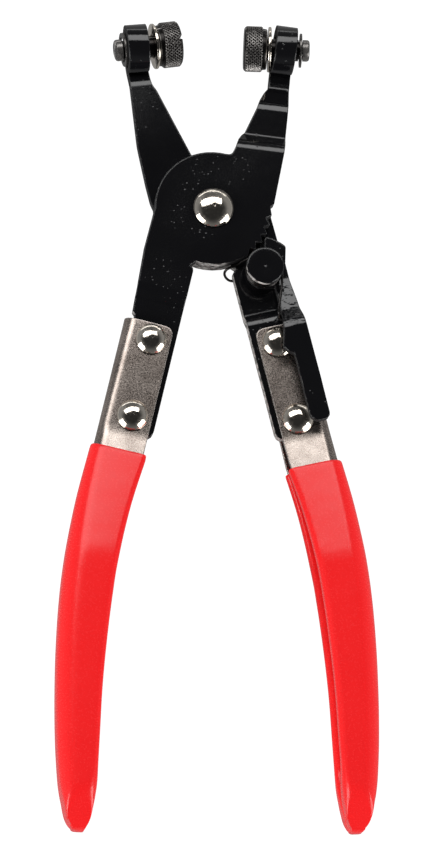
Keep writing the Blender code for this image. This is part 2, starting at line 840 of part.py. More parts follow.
def make_clip(name, clip_at, material):
    """An open retaining clip in the pin's groove, its three ears toward the groove."""
    inner = groove_radius + clearance
    ear_shares = [0.0, 0.5, 1.0]
    steps = 24
    start = clip_mouth / 2
    sweep = 2 * math.pi - clip_mouth
    outside = []
    inside = []
    for step in range(steps + 1):
        share = step / steps
        angle = start + sweep * share
        near_ear = min(abs(share - ear) for ear in ear_shares) < 0.07
        reach = inner if near_ear else inner + (clip_radius - inner) * 0.34
        outside.append((clip_radius * math.cos(angle), clip_radius * math.sin(angle)))
        inside.append((reach * math.cos(angle), reach * math.sin(angle)))
    bm = flat_outline(outside + inside[::-1], clip_thick, name)
    place = Matrix.Translation((clip_at, 0, 0)) @ Matrix.Rotation(math.pi / 2, 4, "Y")
    bmesh.ops.transform(bm, matrix=place, verts=bm.verts)
    return mesh_piece(name, bm, material)


def make_jaw(side, turn, sag, clip_gap, eye_y, holder):
    """One swivel jaw. Its empty stands in the eye, with +X along the pin toward the other jaw."""
    label = "left" if side < 0 else "right"
    axis = bpy.data.objects.new(label + "_jaw_axis", None)
    parts.objects.link(axis)
    axis.parent = holder
    axis.location = (side * eye_x, eye_y, 0)
    lean = arm_lean * -side + turn
    axis.rotation_euler = (0, sag, lean if side < 0 else lean + math.pi)
    clip_at = -(eye_width / 2 + clip_gap + clip_thick / 2)
    washer_at = eye_width / 2 + jaw_play - clip_gap
    pieces = [make_jaw_pin(label + "_jaw_pin", clip_at, washer_at, black_oxide),
              make_washer(label + "_jaw_washer", washer_at, bright_nickel),
              make_clip(label + "_jaw_clip", clip_at, black_oxide)]
    for piece in pieces:
        piece.parent = axis
    for cutter in [obj for obj in cutters.objects if obj.name.startswith(label + "_jaw_pin")]:
        cutter.parent = axis
    return axis


def lever_line():
    line = BendLine(lever_rise_start, plate_gap / 2 + lever_thick / 2)
    line.arc(lever_bend, lever_slope, steps=2)
    line.straight(lever_slope_length)
    line.arc(lever_bend, lever_climb - lever_slope, steps=3)
    line.straight(lever_climb_length)
    line.arc(lever_bend, -lever_climb, steps=4)
    line.straight(lever_length)
    return line


def make_lever(name, material):
    """The latch lever: pawl nose, round hub, and a thumb end that steps over the handle."""
    down = Vector((math.sin(lever_lean), -math.cos(lever_lean)))
    right = Vector((math.cos(lever_lean), math.sin(lever_lean)))
    line = lever_line()
    edge = lever_width * 1.38
    inner = edge - lever_width
    nose_shares = [(-0.690, 0.40, 0.0), (-0.940, 0.53, 0.0444), (-1.000, 0.64, 0.0), (-0.917, 0.935, 0.0),
                   (-0.741, 1.325, 0.0), (-0.610, 1.54, 0.1111), (-0.100, 1.29, 0.0)]
    corners = []
    for along_share, out_share, round_share in nose_shares:
        corners.append((along_share * nose_reach, out_share * nose_width, round_share * nose_reach))
    corners.append((lever_hub, edge * 0.90, 0))
    corners.append((lever_length * 0.24, edge * 0.957, 0))
    corners.append((lever_length * 0.74, edge, 0))
    corners.append((lever_length * 0.93, edge, 0))
    corners.append((lever_length, edge, lever_width * 0.42))
    corners.append((lever_length, inner, lever_width * 0.42))
    tab = lever_width * 0.48
    corners.append((lever_length * 0.566, inner, tab / 2))
    corners.append((lever_length * 0.548, inner - tab * 0.55, tab / 2))
    corners.append((lever_length * 0.515, inner - tab, tab / 2))
    corners.append((lever_length * 0.40, inner - tab * 0.45, tab))
    corners.append((lever_length * 0.29, inner, tab))
    corners.append((lever_hub * 1.1, inner * 1.15, 0))
    plan = rounded(corners, steps=3)
    turn_start = math.atan2(inner * 1.15, lever_hub * 1.1)
    for step in range(1, 8):
        angle = math.radians(-5) - math.radians(145) * (step - 1) / 6
        plan.append((lever_hub * math.cos(angle), lever_hub * math.sin(angle)))
    flat = []
    for along, out in plan:
        length = line.unroll(along)
        flat.append(tuple(down * length + right * out))
    bm = flat_outline(flat, lever_thick, name)
    middle = plate_gap / 2 + lever_thick / 2
    bmesh.ops.translate(bm, verts=bm.verts, vec=(0, 0, middle))
    bend(bm, (0, 0), down, line)
    lever = mesh_piece(name, bm, material)
    lever.parent = latch_axis
    lever.rotation_euler = (0, 0, latch_rest)
    cut(lever, cutter_cylinder(name + "_hole", shank_radius + clearance, lever_thick * 3,
                               (latch_x, latch_y, middle)))
    return lever


def button_seat():
    """The height of the button head's under side, over the lever, the coil and its clearances."""
    return coil_start() + coil_rise() + spring_wire / 2 + clearance


def coil_start():
    return plate_gap / 2 + lever_thick + clearance + spring_wire / 2


def coil_rise():
    return spring_pitch * (spring_turns + 1 / 3)


def make_latch_rivet(name, material):
    seat = button_seat()
    top = seat + button_thick
    edge = button_thick * 0.2
    dimple = button_dimple
    back = plate_thick + plate_gap / 2 + clearance
    profile = [(0, top - dimple / 2), (dimple, top), (button_radius - edge, top), (button_radius, top - edge),
               (button_radius, seat + edge), (button_radius - edge, seat), (shank_radius, seat),
               (shank_radius, -back), (shank_radius * 1.5, -back), (shank_radius * 1.4, -back - edge * 2),
               (shank_radius, -back - edge * 3), (0, -back - edge * 3)]
    rivet = turned(name, profile, material, steps=32)
    rivet.location = (latch_x, latch_y, 0)
    return rivet


def make_spring(name, material):
    """One wire: a hook round the rear plate, a rising coil, and a leg down to a hook round the lever."""
    centre = Vector((latch_x, latch_y))
    wire = spring_wire
    reach = hub_radius + wire * 1.2
    low = coil_start()
    back = -(plate_thick + plate_gap / 2 + wire / 2 + clearance)
    leave = math.radians(118)

    def beside_hub(angle, radius, height):
        return (radius * math.cos(angle), radius * math.sin(angle), height)

    tail = [
        beside_hub(math.radians(-66), reach + wire * 4.2, back),
        beside_hub(math.radians(-70.5), reach + wire * 4.0, back),
        beside_hub(math.radians(-74.5), reach + wire * 3.4, back * 0.90),
        beside_hub(math.radians(-77.5), reach + wire * 2.4, back * 0.60),
        beside_hub(math.radians(-78.8), reach + wire * 1.3, back * 0.22),
        beside_hub(math.radians(-77.5), reach + wire * 0.5, wire * 0.2),
        beside_hub(math.radians(-74.0), reach + wire * 0.1, wire * 1.2),
        beside_hub(math.radians(-67.5), reach, wire * 2.0),
        beside_hub(math.radians(-60.0), reach, wire * 3.0)]
    points = [Vector(point) for point in tail]
    count = round(spring_points * (spring_turns + leave / (2 * math.pi)))
    sweep = spring_turns * 2 * math.pi + leave
    for step in range(count + 1):
        angle = leave - sweep * step / count
        height = low + coil_rise() * step / count
        plan = centre + Vector((math.cos(angle), math.sin(angle))) * spring_radius
        points.append(Vector((*plan, height)))
    lean = lever_lean + latch_rest
    down = Vector((math.sin(lean), -math.cos(lean)))
    right = Vector((math.cos(lean), math.sin(lean)))
    inner = lever_width * 0.38 - wire * 1.25
    line = lever_line()
    hook_at = lever_length * 0.315

    def by_lever(along, out, height):
        plan = centre + down * along + right * out
        return Vector((*plan, height))

    lever_top = line.at(line.unroll(hook_at), lever_thick / 2).y
    lever_low = line.at(line.unroll(hook_at - lever_thick * 0.2), -lever_thick / 2).y
    coil_top = low + coil_rise()
    points.append(Vector((latch_x + spring_radius, latch_y - spring_radius, coil_top)))
    points.append(by_lever(hook_at - wire * 3, inner, coil_top))
    points.append(by_lever(hook_at - wire, inner - wire * 0.2, (coil_top + lever_top) / 2))
    points.append(by_lever(hook_at, inner - wire * 0.3, (lever_top + lever_low) / 2))
    points.append(by_lever(hook_at + wire * 0.3, inner, lever_low - wire * 0.6))
    points.append(by_lever(hook_at + wire * 0.6, inner + wire * 1.5, lever_low - wire))
    points.append(by_lever(hook_at + wire * 0.6, inner + wire * 4, lever_low - wire))
    curve = bpy.data.curves.new(name, "CURVE")
    curve.dimensions = "3D"
    curve.bevel_depth = wire / 2
    curve.bevel_resolution = 1
    curve.use_fill_caps = True
    spline = curve.splines.new("POLY")
    spline.points.add(len(points) - 1)
    for target, point in zip(spline.points, points):
        target.co = (*point, 1)
    print("spring least gap to itself %.5f m" % least_gap(points, wire))
    return mesh_piece(name, mesh_from_curve(curve, name), material)


def least_gap(points, wire):
    """The least gap between turns of a wire, measured between points that aren't neighbours along it."""
    best = None
    apart = spring_points // 2
    for first in range(len(points)):
        for second in range(first + apart, len(points)):
            gap = (points[first] - points[second]).length - wire
            best = gap if best is None else min(best, gap)
    return best


def stand_on_lowest_point():
    """Moves the whole tool so that its box stands on the origin, with the tool's middle above it."""
    bpy.context.view_layer.update()
    depsgraph = bpy.context.evaluated_depsgraph_get()
    low = Vector((1e9, 1e9, 1e9))
    high = -low
    for obj in parts.objects:
        if obj.type != "MESH":
            continue
        evaluated = obj.evaluated_get(depsgraph)
        for vert in evaluated.data.vertices:
            point = evaluated.matrix_world @ vert.co
            low = Vector(map(min, low, point))
            high = Vector(map(max, high, point))
    whole.location = (-(low.x + high.x) / 2, -(low.y + high.y) / 2, -low.z)
    bpy.context.view_layer.update()
    size = high - low
    print("size %.5f %.5f %.5f m" % tuple(size))


clear_scene()
parts = make_collection(collection_name)
cutters = make_collection(collection_name + "_cutters")
black_enamel = make_material("black_enamel", (0.012, 0.012, 0.013), 0.22, 0.0)
nickel_plate = make_material("nickel_plate", (0.52, 0.47, 0.42), 0.36, 1.0)
bright_nickel = make_material("bright_nickel", (0.75, 0.72, 0.68), 0.14, 1.0)
black_oxide = make_material("black_oxide", (0.02, 0.02, 0.021), 0.42, 0.6)
red_vinyl = make_material("red_vinyl", (0.80, 0.02, 0.018), 0.30, 0.0)
spring_steel = make_material("spring_steel", (0.12, 0.11, 0.10), 0.30, 1.0)

whole = bpy.data.objects.new("pliers_origin", None)
parts.objects.link(whole)
front_axis = bpy.data.objects.new("front_half_axis", None)
parts.objects.link(front_axis)
front_axis.parent = whole
front_axis.rotation_euler = (0, 0, front_rest)
rear_axis = bpy.data.objects.new("rear_half_axis", None)
parts.objects.link(rear_axis)
rear_axis.parent = whole
latch_axis = bpy.data.objects.new("latch_axis", None)
parts.objects.link(latch_axis)
latch_axis.parent = rear_axis
latch_axis.location = (latch_x, latch_y, 0)

make_plate("front_plate", True, black_enamel)
make_plate("rear_plate", False, black_enamel)
make_pivot("pivot_rivet", bright_nickel).parent = front_axis
for handle_side, handle_holder, handle_label in ((-1, front_axis, "left"), (1, rear_axis, "right")):
    make_channel(handle_label + "_handle", handle_side, nickel_plate, handle_holder)
    make_grip(handle_label + "_grip", handle_side, red_vinyl).parent = handle_holder
    for place_number, place_label in enumerate(("upper", "lower")):
        rivet_name = "%s_rivet_%s" % (handle_label, place_label)
        make_handle_rivet(rivet_name, handle_side, place_number, bright_nickel).parent = handle_holder
left_jaw_axis = make_jaw(-1, left_jaw_turn, left_jaw_sag, left_clip_gap, rear_eye_y, rear_axis)
right_jaw_axis = make_jaw(1, right_jaw_turn, right_jaw_sag, right_clip_gap, front_eye_y, front_axis)
make_lever("latch_lever", black_enamel)
make_latch_rivet("latch_rivet", black_enamel).parent = rear_axis
make_spring("latch_spring", spring_steel).parent = rear_axis
stand_on_lowest_point()
for axis_empty in (rear_axis, latch_axis, left_jaw_axis, right_jaw_axis):
    spot = axis_empty.matrix_world.translation
    along_pin = axis_empty.matrix_world.to_3x3() @ Vector((1, 0, 0))
    print("%s at %.6f %.6f %.6f, +X along %.6f %.6f %.6f" % (axis_empty.name, *spot, *along_pin))
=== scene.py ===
import json
import math

import bmesh
import bpy
from mathutils import Matrix, Vector


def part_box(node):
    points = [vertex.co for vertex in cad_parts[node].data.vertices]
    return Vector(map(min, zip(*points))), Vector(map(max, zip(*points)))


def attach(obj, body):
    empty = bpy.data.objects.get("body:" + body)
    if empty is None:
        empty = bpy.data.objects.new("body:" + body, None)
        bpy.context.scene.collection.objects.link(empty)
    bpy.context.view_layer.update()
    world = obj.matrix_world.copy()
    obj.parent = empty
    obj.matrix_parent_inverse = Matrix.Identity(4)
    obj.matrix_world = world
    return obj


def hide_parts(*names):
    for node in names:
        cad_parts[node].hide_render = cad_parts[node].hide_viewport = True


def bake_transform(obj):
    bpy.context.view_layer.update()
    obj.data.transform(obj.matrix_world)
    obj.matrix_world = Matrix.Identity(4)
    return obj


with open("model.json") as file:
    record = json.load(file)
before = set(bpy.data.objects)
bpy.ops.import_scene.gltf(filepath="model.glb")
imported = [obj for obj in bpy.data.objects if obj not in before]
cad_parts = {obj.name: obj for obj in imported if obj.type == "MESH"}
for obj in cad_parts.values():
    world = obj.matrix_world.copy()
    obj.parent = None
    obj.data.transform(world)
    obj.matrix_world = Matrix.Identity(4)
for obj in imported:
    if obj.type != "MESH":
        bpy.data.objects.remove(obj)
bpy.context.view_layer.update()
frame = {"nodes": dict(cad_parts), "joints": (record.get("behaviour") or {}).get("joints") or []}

joints = {joint["name"]: joint for joint in frame["joints"]}
pivotSpot = Vector(joints["main_pivot"]["pos_m"])  # the rivets, grips and spring are placed from here
latchSpot = Vector(joints["latch_hinge"]["pos_m"])
print("frame loaded, %d solids" % len(frame["nodes"]))


# small helpers

def linear(hexCode):  # sRGB to linear
    parts = [int(hexCode[at:at + 2], 16) / 255 for at in (1, 3, 5)]
    return [part / 12.92 if part <= 0.04045 else ((part + 0.055) / 1.055) ** 2.4 for part in parts] + [1]


def perMetre(millimetres):  # pattern scale for a feature of this size, on coordinates in metres
    return 1000 / millimetres


def setInputs(tree, node, inputs):  # links each socket that is given, and sets each plain value
    for name, value in inputs.items():
        if isinstance(value, bpy.types.NodeSocket):
            tree.links.new(value, node.inputs[name])
        else:
            node.inputs[name].default_value = value


def addNode(tree, kind, settings=None, inputs=None):  # one node with its settings, values and links
    node = tree.nodes.new("ShaderNode" + kind)
    for name, value in (settings or {}).items():
        setattr(node, name, value)
    setInputs(tree, node, inputs or {})
    return node


def roughnessFrom(tree, pattern, values, start=0.3):  # from the lowest to the highest value, by a pattern
    return addNode(tree, "MapRange", {}, {"Value": pattern.outputs[0], "From Min": start, "From Max": 0.7,
                                          "To Min": values[0], "To Max": values[1]})


def bumps(tree, under, layers):  # bump over bump, each a pattern, a strength and a depth
    for pattern, strength, deep in layers:
        inputs = {"Height": pattern.outputs[0], "Strength": strength, "Distance": deep}
        if under:
            inputs["Normal"] = under.outputs[0]
        under = addNode(tree, "Bump", {}, inputs)
    return under.outputs[0]


def startMaterial(name):
    material = bpy.data.materials.new(name)
    material.use_nodes = True
    tree = material.node_tree
    tree.nodes.clear()
    output = addNode(tree, "OutputMaterial")
    shader = addNode(tree, "BsdfPrincipled")
    tree.links.new(shader.outputs[0], output.inputs["Surface"])
    where = addNode(tree, "TexCoord").outputs["Object"]
    return material, tree, shader, where


def meshFrom(name, bm):
    bmesh.ops.recalc_face_normals(bm, faces=bm.faces)
    mesh = bpy.data.meshes.new(name)
    bm.to_mesh(mesh)
    bm.free()
    return mesh


def carve(piece, name, cutter):  # takes one closed shape away from the piece
    knife = bpy.data.objects.new(name, meshFrom(name, cutter))
    bpy.context.scene.collection.objects.link(knife)
    carving = piece.modifiers.new("carving", "BOOLEAN")
    carving.operation = "DIFFERENCE"
    carving.solver = "EXACT"
    carving.object = knife
    bpy.context.view_layer.update()
    carved = bpy.data.meshes.new_from_object(piece.evaluated_get(bpy.context.evaluated_depsgraph_get()))
    piece.modifiers.remove(carving)
    piece.data = carved
    bpy.data.objects.remove(knife)


def addPiece(name, bm, material, body, replaced, sharpDegrees=35, cutters=()):
    piece = bpy.data.objects.new(name, meshFrom(name, bm))
    bpy.context.scene.collection.objects.link(piece)
    for number, cutter in enumerate(cutters):
        carve(piece, "%sCutter%d" % (name, number), cutter)
    mesh = piece.data
    mesh.materials.clear()
    mesh.materials.append(material)
    mesh.shade_smooth()
    mesh.set_sharp_from_angle(angle=math.radians(sharpDegrees))
    if body:
        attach(piece, body)
    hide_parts(*replaced)
    return piece


def joinRings(bm, rings):  # quads between rings of equal length, with a face over each end
    rows = [[bm.verts.new(point) for point in ring] for ring in rings]
    for row, following in zip(rows, rows[1:]):
        for index in range(len(row)):
            ahead = (index + 1) % len(row)
            bm.faces.new((row[index], row[ahead], following[ahead], following[index]))
    bm.faces.new(rows[0][::-1])
    bm.faces.new(rows[-1])


def turnedMesh(profile, steps, place):  # a lathe: (radius, height) pairs turned round an upright axis
    bm = bmesh.new()
    rings = []
    for radius, height in profile:
        ring = []
        for step in range(steps):
            angle = 2 * math.pi * step / steps
            ring.append(Vector((radius * math.cos(angle), radius * math.sin(angle), height)) + place)
        rings.append(ring)
    joinRings(bm, rings)
    return bm


def slanting(degrees, side=1):  # a direction toward the hands that leans outward
    lean = math.radians(degrees)
    return Vector((side * math.sin(lean), -math.cos(lean), 0))


def shareOf(value, start, end):
    return min(1, max(0, (value - start) / (end - start)))


def between(values, share):  # a smooth curve through four numbers, read between the middle two
    before, start, end, after = values
    pull, push = (end - before) / 2, (after - start) / 2
    a = 2 * start - 2 * end + pull + push
    b = -3 * start + 3 * end - 2 * pull - push
    return ((a * share + b) * share + pull) * share + start


def smoothPath(points, finer):  # a smooth run through points of any number of coordinates
    path = []
    last = len(points) - 1
    for index in range(last):
        four = [points[max(index - 1, 0)], points[index], points[index + 1], points[min(index + 2, last)]]
        for step in range(finer):
            path.append([between([point[axis] for point in four], step / finer)
                         for axis in range(len(four[0]))])
    path.append(list(points[-1]))
    return path


# camera, from the photograph's own angle: a long lens above the tool, a little to its lower left

view = {
    "leanLeft": 0.12,          # how far the view leans to the left of straight down
    "leanLow": 0.25,           # and toward the handles
    "rollDegrees": -0.25,
    "fromPivot": (-0.12718, -0.32383, 1.06000),
    "pixel": 0.0002625,        # metres for one pixel at the pivot
    "range": 1.1,              # the range that the lens is set for
    "pixelsHigh": 852,
    "sensorHigh": 36,
    "nearest": 0.05, "furthest": 20,
}


def makeCamera():
    back = Vector((-view["leanLeft"], -view["leanLow"], 1)).normalized()
    up = (Vector((0, 1, 0)) - back.y * back).normalized()
    right = up.cross(back)
    roll = math.radians(view["rollDegrees"])
    across = math.cos(roll) * right + math.sin(roll) * up
    upward = math.cos(roll) * up - math.sin(roll) * right
    data = bpy.data.cameras.new("photoCamera")
    data.sensor_fit = "VERTICAL"
    data.sensor_height = view["sensorHigh"]
    data.lens = view["sensorHigh"] * view["range"] / view["pixel"] / view["pixelsHigh"]
    data.clip_start = view["nearest"]
    data.clip_end = view["furthest"]
    camera = bpy.data.objects.new("photoCamera", data)
    turn = Matrix((across, upward, back)).transposed().to_4x4()
    camera.matrix_world = Matrix.Translation(Vector(view["fromPivot"]) + pivotSpot) @ turn
    bpy.context.scene.collection.objects.link(camera)
    bpy.context.scene.camera = camera


makeCamera()
print("camera placed")


# floor and light: a table that glows white, a wide soft box beyond the jaws, a low screen on each side
# of the handles and a far wall

studio = {
    "floorColour": "#5a5a5a", "floorRoughness": 0.9, "floorGlow": 1.0, "floorMirrored": 0.25,
    "floorSize": 6.0, "floorBelow": 0.0001, "toothMm": 2.0,
    # each light: name, direction from the pivot, range, width and height, brightness
    "lights": [
        ("softBox", (-0.09, 0.58, 0.81), 1.5, (2.3, 0.74), 3.7),
        ("leftScreen", (-1.0, -0.72, 0.32), 1.5, (1.00, 0.85), 6.0),
        ("rightScreen", (1.0, -0.72, 0.32), 1.5, (1.00, 0.85), 6.0),
        ("farWall", (0.0, 1.0, 0.08), 1.6, (2.6, 0.16), 1.8),
    ],
    "airColour": "#e9ebee", "airOverhead": 0.03, "airLow": 0.30, "airAhead": 0.16,
}


def makeAir():  # dark overhead, lighter near the table at both sides, darker ahead and behind
    world = bpy.data.worlds.new("studioAir")
    world.use_nodes = True
    tree = world.node_tree
    toward = addNode(tree, "SeparateXYZ", {}, {0: addNode(tree, "TexCoord").outputs["Generated"]})
    low = addNode(tree, "MapRange", {"interpolation_type": "SMOOTHSTEP"},
                  {"Value": toward.outputs[2], "From Min": 0.82, "From Max": 0.30})
    aside = addNode(tree, "Math", {"operation": "ABSOLUTE"}, {0: toward.outputs[0]})
    share = addNode(tree, "MapRange", {"interpolation_type": "SMOOTHSTEP"},
                    {"Value": aside.outputs[0], "From Min": 0.25, "From Max": 0.75,
                     "To Min": studio["airAhead"], "To Max": studio["airLow"]})
    strength = addNode(tree, "MapRange", {}, {"Value": low.outputs[0], "To Min": studio["airOverhead"],
                                              "To Max": share.outputs[0]})
    setInputs(tree, tree.nodes["Background"],
              {"Color": linear(studio["airColour"]), "Strength": strength.outputs[0]})
    bpy.context.scene.world = world


def makeFloor():
    # matt paper lit from below: a white ground with a faint tooth
    material, tree, shader, where = startMaterial("tablePaper")
    tooth = addNode(tree, "TexNoise", {},
                    {"Vector": where, "Scale": perMetre(studio["toothMm"]), "Detail": 3.0})
    seen = addNode(tree, "LightPath")  # the tool mirrors less of the glow than shows, so its rims stay dark
    glow = addNode(tree, "MapRange", {}, {"Value": seen.outputs["Is Camera Ray"],
                                          "To Min": studio["floorMirrored"], "To Max": studio["floorGlow"]})
    setInputs(tree, shader, {
        "Base Color": linear(studio["floorColour"]), "Roughness": studio["floorRoughness"],
        "Emission Color": (1, 1, 1, 1), "Emission Strength": glow.outputs[0],
        "Normal": bumps(tree, None, [(tooth, 0.05, 0.0001)])})
    half = studio["floorSize"] / 2
    bm = bmesh.new()
    bm.faces.new([bm.verts.new((x * half, y * half, 0)) for x, y in ((-1, -1), (1, -1), (1, 1), (-1, 1))])
    floor = bpy.data.objects.new("floor", meshFrom("floor", bm))
    floor.data.materials.append(material)
    floor.location.z = -studio["floorBelow"]
    bpy.context.scene.collection.objects.link(floor)


def makeLights():
    for name, direction, reach, size, brightness in studio["lights"]:
        data = bpy.data.lights.new(name, "AREA")
        data.shape = "RECTANGLE"
        data.size, data.size_y = size
        data.energy = brightness * math.pi * size[0] * size[1]
        lamp = bpy.data.objects.new(name, data)
        toward = Vector(direction).normalized()
        lamp.location = pivotSpot + toward * reach
        lamp.rotation_mode = "QUATERNION"
        lamp.rotation_quaternion = toward.to_track_quat("Z", "Y")
        lamp.visible_camera = False
        bpy.context.scene.collection.objects.link(lamp)


makeAir()
makeFloor()
makeLights()
bpy.context.scene.view_settings.view_transform = "Standard"
print("studio lit")


# materials: each roughness is its lowest and its highest value, and each size in millimetres is a real one

enamel = {
    "black": "#0f0f11", "steel": "#f6f1ec", "crack": "#2c2826", "ior": 1.54,
    "roughness": (0.06, 0.13), "shearedRougher": 0.80, "bareRoughness": 0.5, "bareMetal": 0.15,
    "round": 0.00050, "wornRound": 0.00022, "wornShare": 0.45,
    "peelMm": 1.6, "grainMm": 0.22, "nibMm": 1.3, "dustCloudMm": 14.0, "sagMm": 3.2, "chipMm": 1.4,
    "thinSag": 0.00005, "thickSag": 0.0008,                  # how deep the coat sags on slopes
    "bareAim": (-0.6, -0.8, 0.0), "bareFrom": 0.0118, "bareTo": 0.0138,  # where cut edges stayed bare; their near-white colour is partly a painted reflection of the table
}
nickelSheet = {
    "colour": "#cdc1b8", "dull": "#786c65", "burr": "#f2ebe5", "edgeHighlightMetal": 0.45,
    "roughness": (0.20, 0.34), "round": 0.00040,
    "grainMm": 0.34, "grainShare": 0.6, "patchMm": 6.0, "patchShare": 0.4,
}
nickelBright = {"colour": "#e6ddd0", "roughness": (0.04, 0.21), "scratchMm": 0.5, "dentMm": 3.0}
oxide = {"colour": "#262423", "high": "#bdb9b5", "roughness": (0.14, 0.37), "grainMm": 0.12, "rubAndGlintMm": 0.9}
vinyl = {
    "red": "#ff2426", "deep": "#fa1d20", "ior": 1.44, "roughness": (0.20, 0.30),
    "waveMm": 9.0, "skinMm": 0.5, "dustMm": 3.6,
}
wireSteel = {"colour": "#3c3a39", "roughness": (0.16, 0.34), "drawMm": 0.25}


def bareSteel(tree, where, normal):
    # the sheared edges below the hub that face the hands: bare steel with cracks that run along the edge,
    # lightened to near white as a painted reflection of the white table
    aim = addNode(tree, "VectorMath", {"operation": "DOT_PRODUCT"}, {0: normal, 1: enamel["bareAim"]})
    turned = addNode(tree, "MapRange", {},
                     {"Value": aim.outputs["Value"], "From Min": 0.60, "From Max": 0.72})
    place = addNode(tree, "SeparateXYZ", {}, {0: where})
    below = addNode(tree, "MapRange", {},
                    {"Value": place.outputs[1], "From Min": pivotSpot.y - enamel["bareFrom"],
                     "From Max": pivotSpot.y - enamel["bareTo"]})
    stretched = addNode(tree, "Mapping", {}, {"Vector": where, "Scale": (1.0, 1.0, 3.0)})
    cracks = addNode(tree, "TexNoise", {},
                     {"Vector": stretched.outputs[0], "Scale": perMetre(enamel["chipMm"]),
                      "Detail": 6.0, "Roughness": 0.65})
    kept = addNode(tree, "MapRange", {}, {"Value": cracks.outputs[0], "From Min": 0.34, "From Max": 0.43})
    tone = addNode(tree, "MapRange", {}, {"Value": cracks.outputs[0], "From Min": 0.42, "From Max": 0.62})
    colour = addNode(tree, "Mix", {"data_type": "RGBA"},
                     {0: tone.outputs[0], 6: linear(enamel["crack"]), 7: linear(enamel["steel"])})
    patch = addNode(tree, "Math", {"operation": "MULTIPLY"}, {0: turned.outputs[0], 1: below.outputs[0]})
    mask = addNode(tree, "Math", {"operation": "MULTIPLY"}, {0: patch.outputs[0], 1: kept.outputs[0]})
    return mask, colour


def makeEnamel(name, sag, bare):
    # stoved black enamel over stamped steel: wet, deep black, faint orange peel and sags, clusters of dust
    # nibs, grey where edges wear, and cracked steel where the sheared edge stayed bare, near white as a
    # painted reflection
    material, tree, shader, where = startMaterial(name)
    surface = addNode(tree, "NewGeometry")
    facing = addNode(tree, "SeparateXYZ", {}, {0: surface.outputs["Normal"]})
    upward = addNode(tree, "Math", {"operation": "ABSOLUTE"}, {0: facing.outputs[2]})
    peel = addNode(tree, "TexNoise", {},
                   {"Vector": where, "Scale": perMetre(enamel["peelMm"]), "Detail": 2.0})
    grain = addNode(tree, "TexNoise", {},
                    {"Vector": where, "Scale": perMetre(enamel["grainMm"]), "Detail": 3.0})
    run = addNode(tree, "TexNoise", {},
                  {"Vector": where, "Scale": perMetre(enamel["sagMm"]), "Detail": 3.0})
    cloud = addNode(tree, "TexNoise", {},
                    {"Vector": where, "Scale": perMetre(enamel["dustCloudMm"]), "Detail": 4.0})
    chip = addNode(tree, "TexNoise", {},
                   {"Vector": where, "Scale": perMetre(enamel["chipMm"]), "Detail": 5.0})
    cells = addNode(tree, "TexVoronoi", {"feature": "F1"},
                    {"Vector": where, "Scale": perMetre(enamel["nibMm"]), "Randomness": 1.0})

    # dust nibs come in clouds, and slopes sag where the wet coat could run
    nib = addNode(tree, "MapRange", {}, {"Value": cells.outputs["Distance"], "From Min": 0.05,
                                         "From Max": 0.17, "To Min": 1.0, "To Max": 0.0})
    dusty = addNode(tree, "MapRange", {}, {"Value": cloud.outputs[0], "From Min": 0.535, "From Max": 0.60})
    dust = addNode(tree, "Math", {"operation": "MULTIPLY"}, {0: nib.outputs[0], 1: dusty.outputs[0]})
    sloped = addNode(tree, "MapRange", {}, {"Value": upward.outputs[0], "From Min": 0.996,
                                            "From Max": 0.97, "To Min": 0.06, "To Max": 1.0})
    runs = addNode(tree, "Math", {"operation": "MULTIPLY"}, {0: run.outputs[0], 1: sloped.outputs[0]})
    soft = addNode(tree, "Bevel", {"samples": 6}, {"Radius": enamel["round"]})  # the coat rounds each edge
    relief = bumps(tree, soft, [(peel, 0.30, 0.00002), (grain, 0.1, 0.00001), (runs, 1.0, sag),
                                (dust, 0.65, 0.00012)])

    # the coat is glossy on the faces and dull on the sheared sides
    gloss = roughnessFrom(tree, cloud, enamel["roughness"])
    sheared = addNode(tree, "MapRange", {}, {"Value": upward.outputs[0], "From Min": 0.30, "From Max": 0.05,
                                             "To Min": 0.0, "To Max": enamel["shearedRougher"]})
    rough = addNode(tree, "Math", {"operation": "ADD"}, {0: sheared.outputs[0], 1: gloss.outputs[0]})

    # worn edges, broken up into chips
    edge = addNode(tree, "Bevel", {"samples": 4}, {"Radius": enamel["wornRound"]})
    across = addNode(tree, "VectorMath", {"operation": "DOT_PRODUCT"},
                     {0: edge.outputs[0], 1: surface.outputs["Normal"]})
    worn = addNode(tree, "MapRange", {},
                   {"Value": across.outputs["Value"], "From Min": 0.97, "From Max": 0.80})
    broken = addNode(tree, "MapRange", {}, {"Value": chip.outputs[0], "From Min": 0.48, "From Max": 0.62})
    wear = addNode(tree, "Math", {"operation": "MULTIPLY"}, {0: worn.outputs[0], 1: broken.outputs[0]})
    shown = addNode(tree, "Math", {"operation": "MULTIPLY"}, {0: wear.outputs[0], 1: enamel["wornShare"]})
    # where the hub's sheared edge stayed bare: steel, lightened to near white as a painted reflection
    if bare:
        mask, steel = bareSteel(tree, where, surface.outputs["Normal"])
        shown = addNode(tree, "Math", {"operation": "MAXIMUM"}, {0: shown.outputs[0], 1: mask.outputs[0]})
    else:
        steel = addNode(tree, "Mix", {"data_type": "RGBA"},
                        {0: chip.outputs[0], 6: linear(enamel["crack"]), 7: linear(enamel["steel"])})
    colour = addNode(tree, "Mix", {"data_type": "RGBA"},
                     {0: shown.outputs[0], 6: linear(enamel["black"]), 7: steel.outputs[2]})
    dull = addNode(tree, "Mix", {"data_type": "FLOAT"},
                   {0: shown.outputs[0], 2: rough.outputs[0], 3: enamel["bareRoughness"]})
    metal = addNode(tree, "Math", {"operation": "MULTIPLY"}, {0: shown.outputs[0], 1: enamel["bareMetal"]})
    setInputs(tree, shader, {"Base Color": colour.outputs[2], "Roughness": dull.outputs[0],
                             "Metallic": metal.outputs[0], "Normal": relief, "IOR": enamel["ior"]})
    return material


